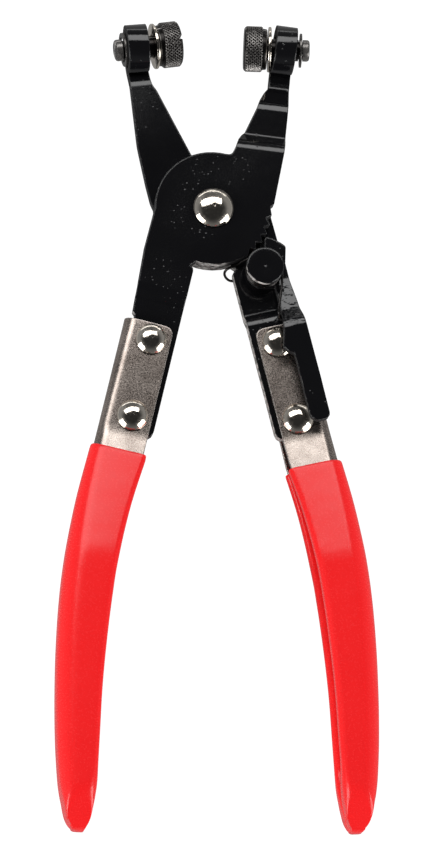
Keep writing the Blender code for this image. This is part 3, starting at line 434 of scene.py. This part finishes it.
def makeNickelSheet():
    # matt nickel on pickled sheet steel: warm sandy grey, fine grain, satin shine, and a painted highlight:
    # paler, less metallic edges
    material, tree, shader, where = startMaterial("mattNickelSheet")
    grain = addNode(tree, "TexNoise", {}, {"Vector": where, "Scale": perMetre(nickelSheet["grainMm"]),
                                           "Detail": 4.0, "Roughness": 0.65})
    patch = addNode(tree, "TexNoise", {}, {"Vector": where, "Scale": perMetre(nickelSheet["patchMm"]),
                                           "Detail": 5.0})
    tone = addNode(tree, "MapRange", {}, {"Value": patch.outputs[0], "From Min": 0.35, "From Max": 0.65})
    speck = addNode(tree, "MapRange", {}, {"Value": grain.outputs[0], "From Min": 0.32, "From Max": 0.68})
    fine = addNode(tree, "Math", {"operation": "MULTIPLY"},
                   {0: speck.outputs[0], 1: nickelSheet["grainShare"]})
    both = addNode(tree, "Math", {"operation": "MULTIPLY_ADD"},
                   {0: tone.outputs[0], 1: nickelSheet["patchShare"], 2: fine.outputs[0]})
    colour = addNode(tree, "Mix", {"data_type": "RGBA"},
                     {0: both.outputs[0], 6: linear(nickelSheet["dull"]), 7: linear(nickelSheet["colour"])})
    rough = roughnessFrom(tree, grain, nickelSheet["roughness"])
    soft = addNode(tree, "Bevel", {"samples": 6}, {"Radius": nickelSheet["round"]})
    flat = addNode(tree, "VectorMath", {"operation": "DOT_PRODUCT"},
                   {0: soft.outputs[0], 1: addNode(tree, "NewGeometry").outputs["Normal"]})
    # painted highlight: every edge turns pale and less metallic, so it shows as a light line
    burr = addNode(tree, "MapRange", {},
                   {"Value": flat.outputs["Value"], "From Min": 0.985, "From Max": 0.90})
    pale = addNode(tree, "Mix", {"data_type": "RGBA"},
                   {0: burr.outputs[0], 6: colour.outputs[2], 7: linear(nickelSheet["burr"])})
    metal = addNode(tree, "MapRange", {},
                    {"Value": burr.outputs[0], "To Min": 1.0, "To Max": nickelSheet["edgeHighlightMetal"]})
    relief = bumps(tree, soft, [(grain, 0.35, 0.00003)])
    setInputs(tree, shader, {"Base Color": pale.outputs[2], "Roughness": rough.outputs[0],
                             "Metallic": metal.outputs[0], "Normal": relief})
    return material


def makeNickelBright():
    # bright nickel on turned and headed steel: near mirror, slightly warm, faint dents and fine scuffs
    material, tree, shader, where = startMaterial("brightNickel")
    dent = addNode(tree, "TexNoise", {},
                   {"Vector": where, "Scale": perMetre(nickelBright["dentMm"]), "Detail": 2.0})
    scuff = addNode(tree, "TexNoise", {}, {"Vector": where, "Scale": perMetre(nickelBright["scratchMm"]),
                                           "Detail": 4.0, "Distortion": 0.6})
    rough = roughnessFrom(tree, scuff, nickelBright["roughness"], 0.35)
    relief = bumps(tree, None, [(dent, 0.25, 0.0003), (scuff, 0.15, 0.00003)])
    setInputs(tree, shader, {"Base Color": linear(nickelBright["colour"]), "Metallic": 1.0,
                             "Roughness": rough.outputs[0], "Normal": relief})
    return material


def makeOxide():
    # black oxide on knurled steel: dark grey, and lighter on the knurl's crests, partly rubbed steel and
    # partly painted glints
    material, tree, shader, where = startMaterial("blackOxideSteel")
    grain = addNode(tree, "TexNoise", {},
                    {"Vector": where, "Scale": perMetre(oxide["grainMm"]), "Detail": 3.0})
    patch = addNode(tree, "TexNoise", {},
                    {"Vector": where, "Scale": perMetre(oxide["rubAndGlintMm"]), "Detail": 4.0})
    # the crests, broken into patches, get a lighter, less metallic colour: rubbed steel and painted glints
    crest = addNode(tree, "MapRange", {}, {"Value": addNode(tree, "NewGeometry").outputs["Pointiness"],
                                           "From Min": 0.525, "From Max": 0.60})
    broken = addNode(tree, "MapRange", {}, {"Value": patch.outputs[0], "From Min": 0.35, "From Max": 0.60,
                                            "To Min": 0.60})
    rubbed = addNode(tree, "Math", {"operation": "MULTIPLY"}, {0: crest.outputs[0], 1: broken.outputs[0]})
    colour = addNode(tree, "Mix", {"data_type": "RGBA"},
                     {0: rubbed.outputs[0], 6: linear(oxide["colour"]), 7: linear(oxide["high"])})
    rough = roughnessFrom(tree, grain, oxide["roughness"])
    relief = bumps(tree, None, [(grain, 0.3, 0.00002)])
    metal = addNode(tree, "MapRange", {}, {"Value": rubbed.outputs[0], "To Min": 0.9, "To Max": 0.3})
    setInputs(tree, shader, {"Base Color": colour.outputs[2], "Roughness": rough.outputs[0],
                             "Metallic": metal.outputs[0], "Normal": relief})
    return material


def makeVinyl():
    # dipped red PVC: soft wet gloss, slow waves in its thickness and a few dust specks
    material, tree, shader, where = startMaterial("dippedRedVinyl")
    wave = addNode(tree, "TexNoise", {},
                   {"Vector": where, "Scale": perMetre(vinyl["waveMm"]), "Detail": 2.0})
    skin = addNode(tree, "TexNoise", {},
                   {"Vector": where, "Scale": perMetre(vinyl["skinMm"]), "Detail": 2.0})
    cells = addNode(tree, "TexVoronoi", {"feature": "F1"},
                    {"Vector": where, "Scale": perMetre(vinyl["dustMm"])})
    dust = addNode(tree, "MapRange", {}, {"Value": cells.outputs["Distance"], "From Min": 0.02,
                                          "From Max": 0.06, "To Min": 1.0, "To Max": 0.0})
    tone = addNode(tree, "MapRange", {}, {"Value": wave.outputs[0], "From Min": 0.3, "From Max": 0.7,
                                          "To Min": 0.0, "To Max": 0.35})
    colour = addNode(tree, "Mix", {"data_type": "RGBA"},
                     {0: tone.outputs[0], 6: linear(vinyl["red"]), 7: linear(vinyl["deep"])})
    rough = roughnessFrom(tree, skin, vinyl["roughness"])
    relief = bumps(tree, None, [(wave, 0.25, 0.0004), (skin, 0.05, 0.00001), (dust, 0.5, 0.00005)])
    setInputs(tree, shader, {"Base Color": colour.outputs[2], "Roughness": rough.outputs[0],
                             "Normal": relief, "IOR": vinyl["ior"]})
    return material


def makeWireSteel():
    # oil hardened spring wire: dark, smooth, with a faint grain from drawing
    material, tree, shader, where = startMaterial("darkSpringWire")
    grain = addNode(tree, "TexNoise", {},
                    {"Vector": where, "Scale": perMetre(wireSteel["drawMm"]), "Detail": 3.0})
    rough = roughnessFrom(tree, grain, wireSteel["roughness"])
    relief = bumps(tree, None, [(grain, 0.2, 0.00002)])
    setInputs(tree, shader, {"Base Color": linear(wireSteel["colour"]), "Metallic": 1.0,
                             "Roughness": rough.outputs[0], "Normal": relief})
    return material


blackEnamel = makeEnamel("blackStoveEnamel", enamel["thinSag"], True)
leverEnamel = makeEnamel("blackStoveEnamelThick", enamel["thickSag"], False)
sheetNickel = makeNickelSheet()
brightNickel = makeNickelBright()
blackOxide = makeOxide()
redVinyl = makeVinyl()
springWire = makeWireSteel()
print("materials ready")


# stamped and folded pieces keep their solids, with softly broken edges

edges = {
    "plates": 0.0006, "lever": 0.0004, "channels": 0.00012, "washers": 0.00012, "clips": 0.0001,
    "steps": 3, "sharpDegrees": 40, "weld": 0.000002, "evenWeight": 60,
}


def dress(node, material, edge):
    solid = frame["nodes"][node]
    solid.data.materials.clear()
    solid.data.materials.append(material)
    weld = solid.modifiers.new("weld", "WELD")
    weld.merge_threshold = edges["weld"]
    bevel = solid.modifiers.new("brokenEdges", "BEVEL")
    bevel.width = edge
    bevel.segments = edges["steps"]
    bevel.limit_method = "ANGLE"
    bevel.angle_limit = math.radians(edges["sharpDegrees"])
    bevel.use_clamp_overlap = True
    bevel.harden_normals = False
    normals = solid.modifiers.new("evenShading", "WEIGHTED_NORMAL")
    normals.keep_sharp = False
    normals.weight = edges["evenWeight"]


for node in ("front_plate", "rear_plate"):
    dress(node, blackEnamel, edges["plates"])
dress("latch_lever", leverEnamel, edges["lever"])
for node in ("left_handle", "right_handle"):
    dress(node, sheetNickel, edges["channels"])
for node in ("left_jaw_washer", "right_jaw_washer"):
    dress(node, brightNickel, edges["washers"])
for node in ("left_jaw_clip", "right_jaw_clip"):
    dress(node, blackOxide, edges["clips"])
print("stamped pieces dressed")


# rivets: headed from both sides, with a crisp foot where the head meets the sheet

rivets = {
    "pivot": {"radius": 0.0053, "high": 0.0025, "seat": 0.00345, "shank": 0.0040},
    "handle": {"radius": 0.0041, "high": 0.0022, "seat": 0.0033, "shank": 0.0022},
    "crown": 0.80,                 # 0.5 is an ellipse, 1 is a parabola
    "foot": 0.0003, "domeInset": 0.3,
    "footShares": [(0.0, 0.7), (0.0, 0.2), (0.5, 0.0)],  # inward and up, in shares of the foot
    "dimple": 0.0005, "dimpleDeep": 0.00006,
    "steps": 96, "domeSteps": 40, "middleShare": 0.004,
}
handle = {
    "leanDegrees": 13.9, "rivet": (0.01695, -0.03625), "rivetSpacing": 0.0214,
    "leftTurnDegrees": 0.6,        # the left handle is turned a little further out, round the pivot
}


def onHandle(side, along, out, up=0.0):  # a point measured down the handle and outward from its rivets
    lean = math.radians(handle["leanDegrees"])
    down = Vector((math.sin(lean), -math.cos(lean)))
    outward = Vector((math.cos(lean), math.sin(lean)))
    plan = Vector(handle["rivet"]) + down * along + outward * out
    spot = Vector((side * plan.x, plan.y, up))
    if side < 0:
        spot = Matrix.Rotation(math.radians(handle["leftTurnDegrees"]), 3, "Z") @ spot
    return pivotSpot + spot


def domeProfile(radius, high):
    points = []
    least = rivets["middleShare"]
    for step in range(rivets["domeSteps"] + 1):
        share = math.sin(math.pi / 2 * (least + (1 - least) * step / rivets["domeSteps"]))
        dimple = rivets["dimpleDeep"] * math.exp(-(radius * share / rivets["dimple"]) ** 2)
        points.append((radius * share, high * (1 - share * share) ** rivets["crown"] - dimple))
    return points


def makeRivet(name, kind, place, body, node):
    size = rivets[kind]
    radius, seat, foot = size["radius"], size["seat"], rivets["foot"]
    dome = domeProfile(radius - foot * rivets["domeInset"], size["high"] - foot)
    profile = [(r, h + seat + foot) for r, h in dome]
    profile += [(radius - foot * inward, seat + foot * up) for inward, up in rivets["footShares"]]
    profile.append((size["shank"], seat))
    profile += [(r, -h) for r, h in reversed(profile)]  # the rear head mirrors the front one
    addPiece(name, turnedMesh(profile, rivets["steps"], place), brightNickel, body, [node])


makeRivet("pivotRivet", "pivot", pivotSpot, "front_half", "pivot_rivet")
for side, label, body in ((-1, "left", "front_half"), (1, "right", "rear_half")):
    for number, level in enumerate(("upper", "lower")):
        makeRivet("%sRivet%s" % (label, level.capitalize()), "handle",
                  onHandle(side, handle["rivetSpacing"] * number, 0), body, "%s_rivet_%s" % (label, level))
print("rivets made")


# grips: vinyl dipped over the steel channel, open along the inner side, closed and flattened at the tip

grip = {
    "length": 0.1305, "leftStart": 0.0312, "rightStart": 0.0343,  # the left one was dipped a little deeper
    "skinTop": 0.0005, "skinLow": 0.00105, "gap": 0.00025, "within": 0.00002,
    "sheet": 0.0012, "channelOut": 0.0080, "channelIn": 0.00524,
    "depthTop": 0.0060, "depthLow": 0.0137, "cornerLow": 0.0046,
    "flareStart": 0.0262, "flareLength": 0.0340, "flareBend": 0.0014,
    # shares of the length and of the channel's width, down the outer and the inner edge
    "outerShares": [(0.250, 0.000), (0.355, 0.000), (0.463, -0.064), (0.552, -0.161), (0.650, -0.326),
                    (0.742, -0.521), (0.828, -0.735), (0.898, -0.940), (0.930, -1.060), (0.950, -1.155),
                    (0.967, -1.232), (0.984, -1.322), (0.9925, -1.385), (0.9960, -1.425)],
    "innerShares": [(0.250, 0.000), (0.350, 0.090), (0.458, 0.104), (0.540, 0.045), (0.634, -0.060),
                    (0.722, -0.185), (0.806, -0.335), (0.868, -0.450), (0.908, -0.525), (0.934, -0.553),
                    (0.955, -0.560), (0.977, -0.570), (0.9885, -0.560), (0.9935, -0.545)],
    "finer": 7, "cornerSteps": 8,
    # the dipped edge: distances down from its top, each with the share of the skin's thickness there
    "edge": [(0.0006, 0.02), (0.00012, 0.30), (0.0, 0.55), (0.00012, 0.82), (0.0004, 0.96), (0.0009, 1.0)],
    "edgeLength": 0.0012, "edgeWave": 0.00035, "waveAcross": 420, "waveUp": 300,
    "insideCorner": 0.0003, "frontLip": 0.0004, "rearLip": 0.0015,  # how round the slot and its edges are
    "slotFrom": 0.1205, "slotTo": 0.1268,       # where the slot rises to its end
    "slotShallow": 0.00005, "slotLipShare": 0.15,
    "fullFrom": 0.1150, "fullTo": 0.1258,       # where the two lips thicken and round over
    "lipsApart": 0.0001,
    "roundMost": 0.49,                          # a round corner takes at most this share of a side
    "lipMostShare": 0.44, "cornerMostShare": 0.52,  # of the grip's width
    "slopeFrom": 0.1214, "slopeDegrees": 30.5, "slopeBlend": 0.0012,  # the flat that slants down to the tip
    "thinFrom": 0.1235, "thinShare": 0.32,      # the skin thins on the tip's sides
    "endRound": 0.0011, "endSteps": 9,
}


def gripStations():  # (along, out) of the outer edge and of the inner edge, down the handle
    width = grip["channelOut"] + grip["channelIn"]
    pairs = []
    for (along, out), (alongIn, into) in zip(grip["outerShares"], grip["innerShares"]):
        pairs.append((along * grip["length"], grip["channelOut"] + out * width,
                      alongIn * grip["length"], -grip["channelIn"] + into * width))
    return smoothPath(pairs, grip["finer"])


def stationAt(stations, along):  # the channel's edges at a place between two stations
    if along <= stations[0][0]:
        return [along, stations[0][1], along, stations[0][3]]
    number = next(index for index, station in enumerate(stations) if station[0] > along)
    before, after = stations[number - 1], stations[number]
    share = (along - before[0]) / (after[0] - before[0])
    return [first + (last - first) * share for first, last in zip(before, after)]


def flareShare(along):  # a straight ramp that is eased at both ends
    ease = grip["flareBend"] / grip["flareLength"]
    share = (along - grip["flareStart"]) / grip["flareLength"]
    if share > 0.5:
        return 1 - flareShare(2 * grip["flareStart"] + grip["flareLength"] - along)
    if share > ease:
        return share
    return max(0, share + ease) ** 2 / (4 * ease)


def softLimit(value, limit, blend):  # the lesser of two numbers, rounded where they cross
    gap = limit - value
    if gap > blend:
        return value
    if gap < -blend:
        return limit
    return value - (blend - gap) ** 2 / (4 * blend)


def gripSection(width, depth, corner, wall, lip, slotDeep):
    # the C section as corners (inward, up, radius), each rounded with the same number of points
    inside = max(corner - wall, grip["insideCorner"])
    corners = [
        (0, depth, corner), (width, depth, lip), (width, depth - wall, grip["frontLip"]),
        (slotDeep, depth - wall, inside), (slotDeep, wall - depth, inside),
        (width, wall - depth, grip["rearLip"]), (width, -depth, lip), (0, -depth, corner)]
    points = []
    for index, (x, z, radius) in enumerate(corners):
        here = Vector((x, z))
        before = Vector(corners[index - 1][:2]) - here
        after = Vector(corners[(index + 1) % len(corners)][:2]) - here
        reach = min(radius, before.length * grip["roundMost"], after.length * grip["roundMost"])
        first, last = here + before.normalized() * reach, here + after.normalized() * reach
        for step in range(grip["cornerSteps"] + 1):
            turn = math.pi / 2 * step / grip["cornerSteps"]
            points.append(first + (here - first) * math.sin(turn) + (last - here) * (1 - math.cos(turn)))
    return points


def gripRing(side, station, grown=1.0, wave=0.0):
    along, out, alongIn, into = station
    outer, inner = Vector((along, out)), Vector((alongIn, into))
    inward = (inner - outer).normalized()
    middle = (along + alongIn) / 2
    flare = flareShare(middle)
    skin = grip["gap"] + grip["skinTop"] - grip["within"] + (grip["skinLow"] - grip["skinTop"]) * flare
    grow = skin * grown
    near = shareOf(middle, grip["thinFrom"], grip["length"])
    sideGrow = grow * (1 - grip["thinShare"] * near ** 3)
    depth = (grip["depthTop"] + (grip["depthLow"] - grip["depthTop"]) * flare) / 2 + grow
    corner = grip["depthTop"] / 2 + (grip["cornerLow"] - grip["depthTop"] / 2) * flare + grow
    width = (inner - outer).length + 2 * sideGrow
    full = shareOf(middle, grip["fullFrom"], grip["fullTo"])
    full = full * full * (3 - 2 * full)
    thin = grip["sheet"] + 2 * grow
    wall = thin + (depth - grip["lipsApart"] - thin) * full
    lip = wall * grip["roundMost"]
    rise = shareOf(middle, grip["slotFrom"], grip["slotTo"])
    shallow = width - lip * grip["slotLipShare"]
    slotDeep = min(shallow - (shallow - thin) * math.sqrt(1 - rise * rise), width - grip["slotShallow"])
    corner = min(corner, width * grip["cornerMostShare"])
    lip = min(lip, width * grip["lipMostShare"], slotDeep)
    limit = grip["depthLow"] / 2 + grip["gap"] + grip["skinLow"]
    limit -= math.tan(math.radians(grip["slopeDegrees"])) * (middle - grip["slopeFrom"])
    points = []
    for point in gripSection(width, depth, corner, wall, lip, slotDeep):
        plan = outer + inward * (point.x - sideGrow)
        up = math.copysign(softLimit(abs(point.y), limit, grip["slopeBlend"]), point.y)
        ripple = wave * math.sin(point.x * grip["waveAcross"] + side) * math.cos(up * grip["waveUp"])
        points.append(onHandle(side, plan.x + ripple, plan.y, up))
    return points


def makeGrip(side, label, body):
    stations = gripStations()
    start = grip[label + "Start"]
    rings = []
    for ahead, grown in grip["edge"]:
        wave = grip["edgeWave"] * (1 - ahead / grip["edgeLength"])
        rings.append(gripRing(side, stationAt(stations, start + ahead), grown, wave))
    for station in stations:
        if station[0] > start + grip["edgeLength"]:
            rings.append(gripRing(side, station))
    last = rings[-1]
    middle = sum(last, Vector()) / len(last)
    onward = slanting(handle["leanDegrees"], side) * grip["endRound"]
    for step in range(1, grip["endSteps"]):  # the tip's end is rounded off
        turn = math.pi / 2 * step / grip["endSteps"]
        shrink, push = math.cos(turn), onward * math.sin(turn)
        rings.append([middle + (point - middle) * shrink + push for point in last])
    bm = bmesh.new()
    joinRings(bm, rings)
    addPiece(label + "Grip", bm, redVinyl, body, [label + "_grip"], sharpDegrees=70)


makeGrip(-1, "left", "front_half")
makeGrip(1, "right", "rear_half")
print("grips made")


# swivel jaws: diamond knurl pressed into the head, crossed slots in its face, smooth collar, clip groove
# and stub

jaw = {
    "pinRadius": 0.0029, "headRadius": 0.00613, "knurlLength": 0.0050, "knurlDeep": 0.00034,
    "collarLength": 0.0012, "collarRadius": 0.00545, "collarRound": 0.0002, "collarFlare": 0.0001,
    "washer": 0.0008, "gap": 0.0003, "eyeWidth": 0.0056, "play": 0.0021,
    "leftClipGap": 0.00045, "rightClipGap": 0.0013, "clipThick": 0.0006, "groove": 0.0024,
    "stub": 0.0018, "bevel": 0.0006, "faceBevel": 0.0005, "faceRound": 0.0003, "faceLow": 0.00008,
    "faceFlat": 0.0005, "middle": 0.0001,
    "knurlMm": 0.70, "knurlLean": 42, "perLine": 10, "rows": 60, "crest": 2.4, "fade": 16, "fadeShare": 0.7,
    "slotWide": 0.0013, "slotDeep": 0.0007,
}


def knurlRings(start, end, lines, around):  # two sets of crossing ridges, faded out at both ends
    head, deep = jaw["headRadius"], jaw["knurlDeep"]
    twist = math.tan(math.radians(jaw["knurlLean"])) / head
    rings = []
    for row in range(jaw["rows"] + 1):
        share = row / jaw["rows"]
        along = start + (end - start) * share
        fade = min(1, share * jaw["fade"], (1 - share) * jaw["fade"])
        ring = []
        for index in range(around):
            angle = 2 * math.pi * index / around
            first = 0.5 + 0.5 * math.cos(lines * (angle + twist * (along - start)))
            second = 0.5 + 0.5 * math.cos(lines * (angle - twist * (along - start)))
            cutIn = 1 - max(first ** jaw["crest"], second ** jaw["crest"])
            ring.append((along, head - deep * (1 - fade) * jaw["fadeShare"] - deep * fade * cutIn))
        rings.append(ring)
    return rings


def jawRings(clipGap):  # (along, radius) rings from the stub to the head's face, and where the face is
    clipAt = -(jaw["eyeWidth"] / 2 + clipGap + jaw["clipThick"] / 2)
    washerAt = jaw["eyeWidth"] / 2 + jaw["play"] - clipGap
    collar = washerAt + jaw["washer"] + jaw["gap"]
    knurl = collar + jaw["collarLength"]
    face = knurl + jaw["knurlLength"]
    groove = jaw["clipThick"] / 2 + jaw["gap"]
    stubEnd = clipAt - groove - jaw["stub"]
    head, pin, bevel, deep = jaw["headRadius"], jaw["pinRadius"], jaw["bevel"], jaw["knurlDeep"]
    lines = round(2 * math.pi * head / (jaw["knurlMm"] / 1000 / math.cos(math.radians(jaw["knurlLean"]))))
    around = lines * jaw["perLine"]
    shank = [(jaw["middle"], stubEnd), (pin - bevel, stubEnd), (pin - bevel * 0.3, stubEnd + bevel * 0.35),
             (pin, stubEnd + bevel), (pin, stubEnd + jaw["stub"]), (jaw["groove"], stubEnd + jaw["stub"]),
             (jaw["groove"], clipAt + groove), (pin, clipAt + groove), (pin, collar),
             (jaw["collarRadius"] - jaw["collarRound"], collar),
             (jaw["collarRadius"], collar + jaw["collarRound"]),
             (jaw["collarRadius"] + jaw["collarFlare"], collar + jaw["collarLength"] * 0.8),
             (head - deep - jaw["collarRound"], knurl)]
    front = [(head - deep * 0.9, face - jaw["faceBevel"] * 0.55),
             (head - deep - jaw["faceRound"], face - jaw["faceLow"]),
             (head - deep - jaw["faceFlat"], face), (head * 0.5, face), (jaw["middle"], face)]
    rings = [[(along, radius)] * around for radius, along in shank]
    rings += knurlRings(knurl, face - jaw["faceBevel"] * 0.8, lines, around)
    rings += [[(along, radius)] * around for radius, along in front]
    return rings, face


def makeJawPin(label, body):
    joint = joints[label + "_jaw_swivel"]
    axis = Vector(joint["axis"]).normalized()
    place = Vector(joint["pos_m"])
    turn = Matrix.Rotation(math.atan2(axis.y, axis.x), 3, "Z") @ Matrix.Rotation(math.asin(-axis.z), 3, "Y")
    rings, face = jawRings(jaw[label + "ClipGap"])
    placed = []
    for ring in rings:
        row = []
        for index, (along, radius) in enumerate(ring):
            angle = 2 * math.pi * index / len(ring)
            row.append(turn @ Vector((along, radius * math.cos(angle), radius * math.sin(angle))) + place)
        placed.append(row)
    bm = bmesh.new()
    joinRings(bm, placed)
    slots = []
    slotLong = jaw["headRadius"] * 3
    for wide, tall in ((jaw["slotWide"], slotLong), (slotLong, jaw["slotWide"])):
        slot = bmesh.new()
        bmesh.ops.create_cube(slot, size=1.0)
        for vert in slot.verts:
            local = Vector((vert.co.x * jaw["slotDeep"] * 2 + face, vert.co.y * wide, vert.co.z * tall))
            vert.co = turn @ local + place
        slots.append(slot)
    addPiece(label + "JawPin", bm, blackOxide, body, [label + "_jaw_pin"], sharpDegrees=38,
             cutters=slots)


makeJawPin("left", "left_jaw")
makeJawPin("right", "right_jaw")
print("jaws made")


# latch button: a headed pin through lever and plate, with a small dimple in its middle

button = {
    "thick": 0.0016, "radius": 0.00495, "shank": 0.0025, "back": 0.00345, "middle": 0.00002,
    "rim": 0.0003, "underRim": 0.0002, "dimple": 0.00028, "dimpleDeep": 0.00008,
    "dimpleSteps": 6, "rimSteps": 8, "underSteps": 5,
    # the rear end, spread over the plate: share of the shank, and height over its bottom
    "spreadShare": 1.5, "spread": [(1.47, 0.0004), (1.2, 0.0001), (0.9, 0.0)],
}


def makeButton():
    low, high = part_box("latch_rivet")
    top = high.z - latchSpot.z
    bottom = low.z - latchSpot.z
    seat = top - button["thick"]
    rim, under, radius, shank = button["rim"], button["underRim"], button["radius"], button["shank"]
    profile = []
    for step in range(button["dimpleSteps"] + 1):
        share = step / button["dimpleSteps"]
        profile.append((max(button["dimple"] * share, button["middle"]),
                        top - button["dimpleDeep"] * (0.5 + 0.5 * math.cos(math.pi * share))))
    for step in range(button["rimSteps"] + 1):
        turn = math.pi / 2 * step / button["rimSteps"]
        profile.append((radius - rim + rim * math.sin(turn), top - rim + rim * math.cos(turn)))
    for step in range(button["underSteps"] + 1):
        turn = math.pi / 2 * step / button["underSteps"]
        profile.append((radius - under + under * math.cos(turn), seat + under - under * math.sin(turn)))
    profile += [(shank, seat), (shank, -button["back"]), (shank * button["spreadShare"], -button["back"])]
    profile += [(shank * share, bottom + up) for share, up in button["spread"]]
    profile.append((button["middle"], bottom))
    addPiece("latchButton", turnedMesh(profile, rivets["steps"], latchSpot), blackEnamel, "rear_half",
             ["latch_rivet"])


makeButton()
print("latch button made")


# latch spring: one round wire that hooks round the rear plate, winds two turns and a third and ends in a leg
# hooked on the lever

spring = {
    "wire": 0.0007, "hub": 0.0155, "radius": 0.0046, "low": 0.0028, "rise": 0.002917,
    "turns": 2, "leaveDegrees": 118, "perTurn": 24, "finer": 3, "sides": 14,
    # the hook on the plate: angle round the hub, wires beyond its edge, height
    "tail": [(-66.0, 5.4, -0.0038), (-70.5, 5.2, -0.0038), (-74.5, 4.6, -0.00342), (-77.5, 3.6, -0.00228),
             (-78.8, 2.5, -0.00084), (-77.5, 1.7, 0.00014), (-74.0, 1.3, 0.00084), (-67.5, 1.2, 0.0014),
             (-60.0, 1.2, 0.0021)],
    # the leg beside the lever: wires past the hook, wires inward, height
    "leanDegrees": 13.3, "hookAt": 0.013766, "inside": 0.001096, "bendFrom": 0.0045, "bendTo": 0.0105,
    "leg": [(-3.0, 0.0, 0.005717), (-1.0, -0.2, 0.00536), (0.0, -0.3, 0.0041), (0.3, 0.0, 0.00278),
            (0.6, 1.5, 0.0025), (0.6, 4.0, 0.0025)],
    # the round ends: radii past the end, and share of the radius there
    "endShares": [(0.0, 1.0), (0.35, 0.75), (0.5, 0.35)],
}


def springRoute():
    wire = spring["wire"]
    centre = latchSpot - pivotSpot
    points = []
    for degrees, beyond, height in spring["tail"]:
        reach = spring["hub"] + wire * beyond
        turn = math.radians(degrees)
        points.append(Vector((reach * math.cos(turn), reach * math.sin(turn), height)))
    leave = math.radians(spring["leaveDegrees"])
    count = round(spring["perTurn"] * (spring["turns"] + leave / (2 * math.pi)))
    sweep = spring["turns"] * 2 * math.pi + leave
    for step in range(count + 1):
        turn = leave - sweep * step / count
        height = spring["low"] + spring["rise"] * step / count
        points.append(Vector((centre.x + spring["radius"] * math.cos(turn),
                              centre.y + spring["radius"] * math.sin(turn), height)))
    top = spring["low"] + spring["rise"]
    points.append(Vector((centre.x + spring["radius"], centre.y - spring["radius"], top)))
    down = slanting(spring["leanDegrees"])
    right = Vector((-down.y, down.x, 0))
    for past, inward, height in spring["leg"]:
        plan = down * (spring["hookAt"] + wire * past) + right * (spring["inside"] + wire * inward)
        points.append(Vector((centre.x + plan.x, centre.y + plan.y, height)))
    return [point + pivotSpot for point in points]


def makeSpring():
    path = [Vector(point) for point in smoothPath(springRoute(), spring["finer"])]
    last = len(path) - 1
    radius = spring["wire"] / 2
    rings = []
    aside = None
    for index, point in enumerate(path):
        ahead = (path[min(index + 1, last)] - path[max(index - 1, 0)]).normalized()
        aside = ahead.orthogonal() if aside is None else aside - ahead * aside.dot(ahead)
        aside.normalize()
        across = ahead.cross(aside)
        ends = spring["endShares"][:1]
        if index == 0:
            ends = [(-onward, thin) for onward, thin in reversed(spring["endShares"])]
        if index == last:
            ends = spring["endShares"]
        for onward, thin in ends:
            ring = []
            for side in range(spring["sides"]):
                turn = 2 * math.pi * side / spring["sides"]
                ring.append(point + ahead * radius * onward
                            + (aside * math.cos(turn) + across * math.sin(turn)) * radius * thin)
            rings.append(ring)
    bm = bmesh.new()
    joinRings(bm, rings)
    wound = addPiece("latchSpring", bm, springWire, None, ["latch_spring"], sharpDegrees=60)
    onward = slanting(spring["leanDegrees"])
    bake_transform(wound)  # the placement is baked into the mesh


makeSpring()
print("spring wound")
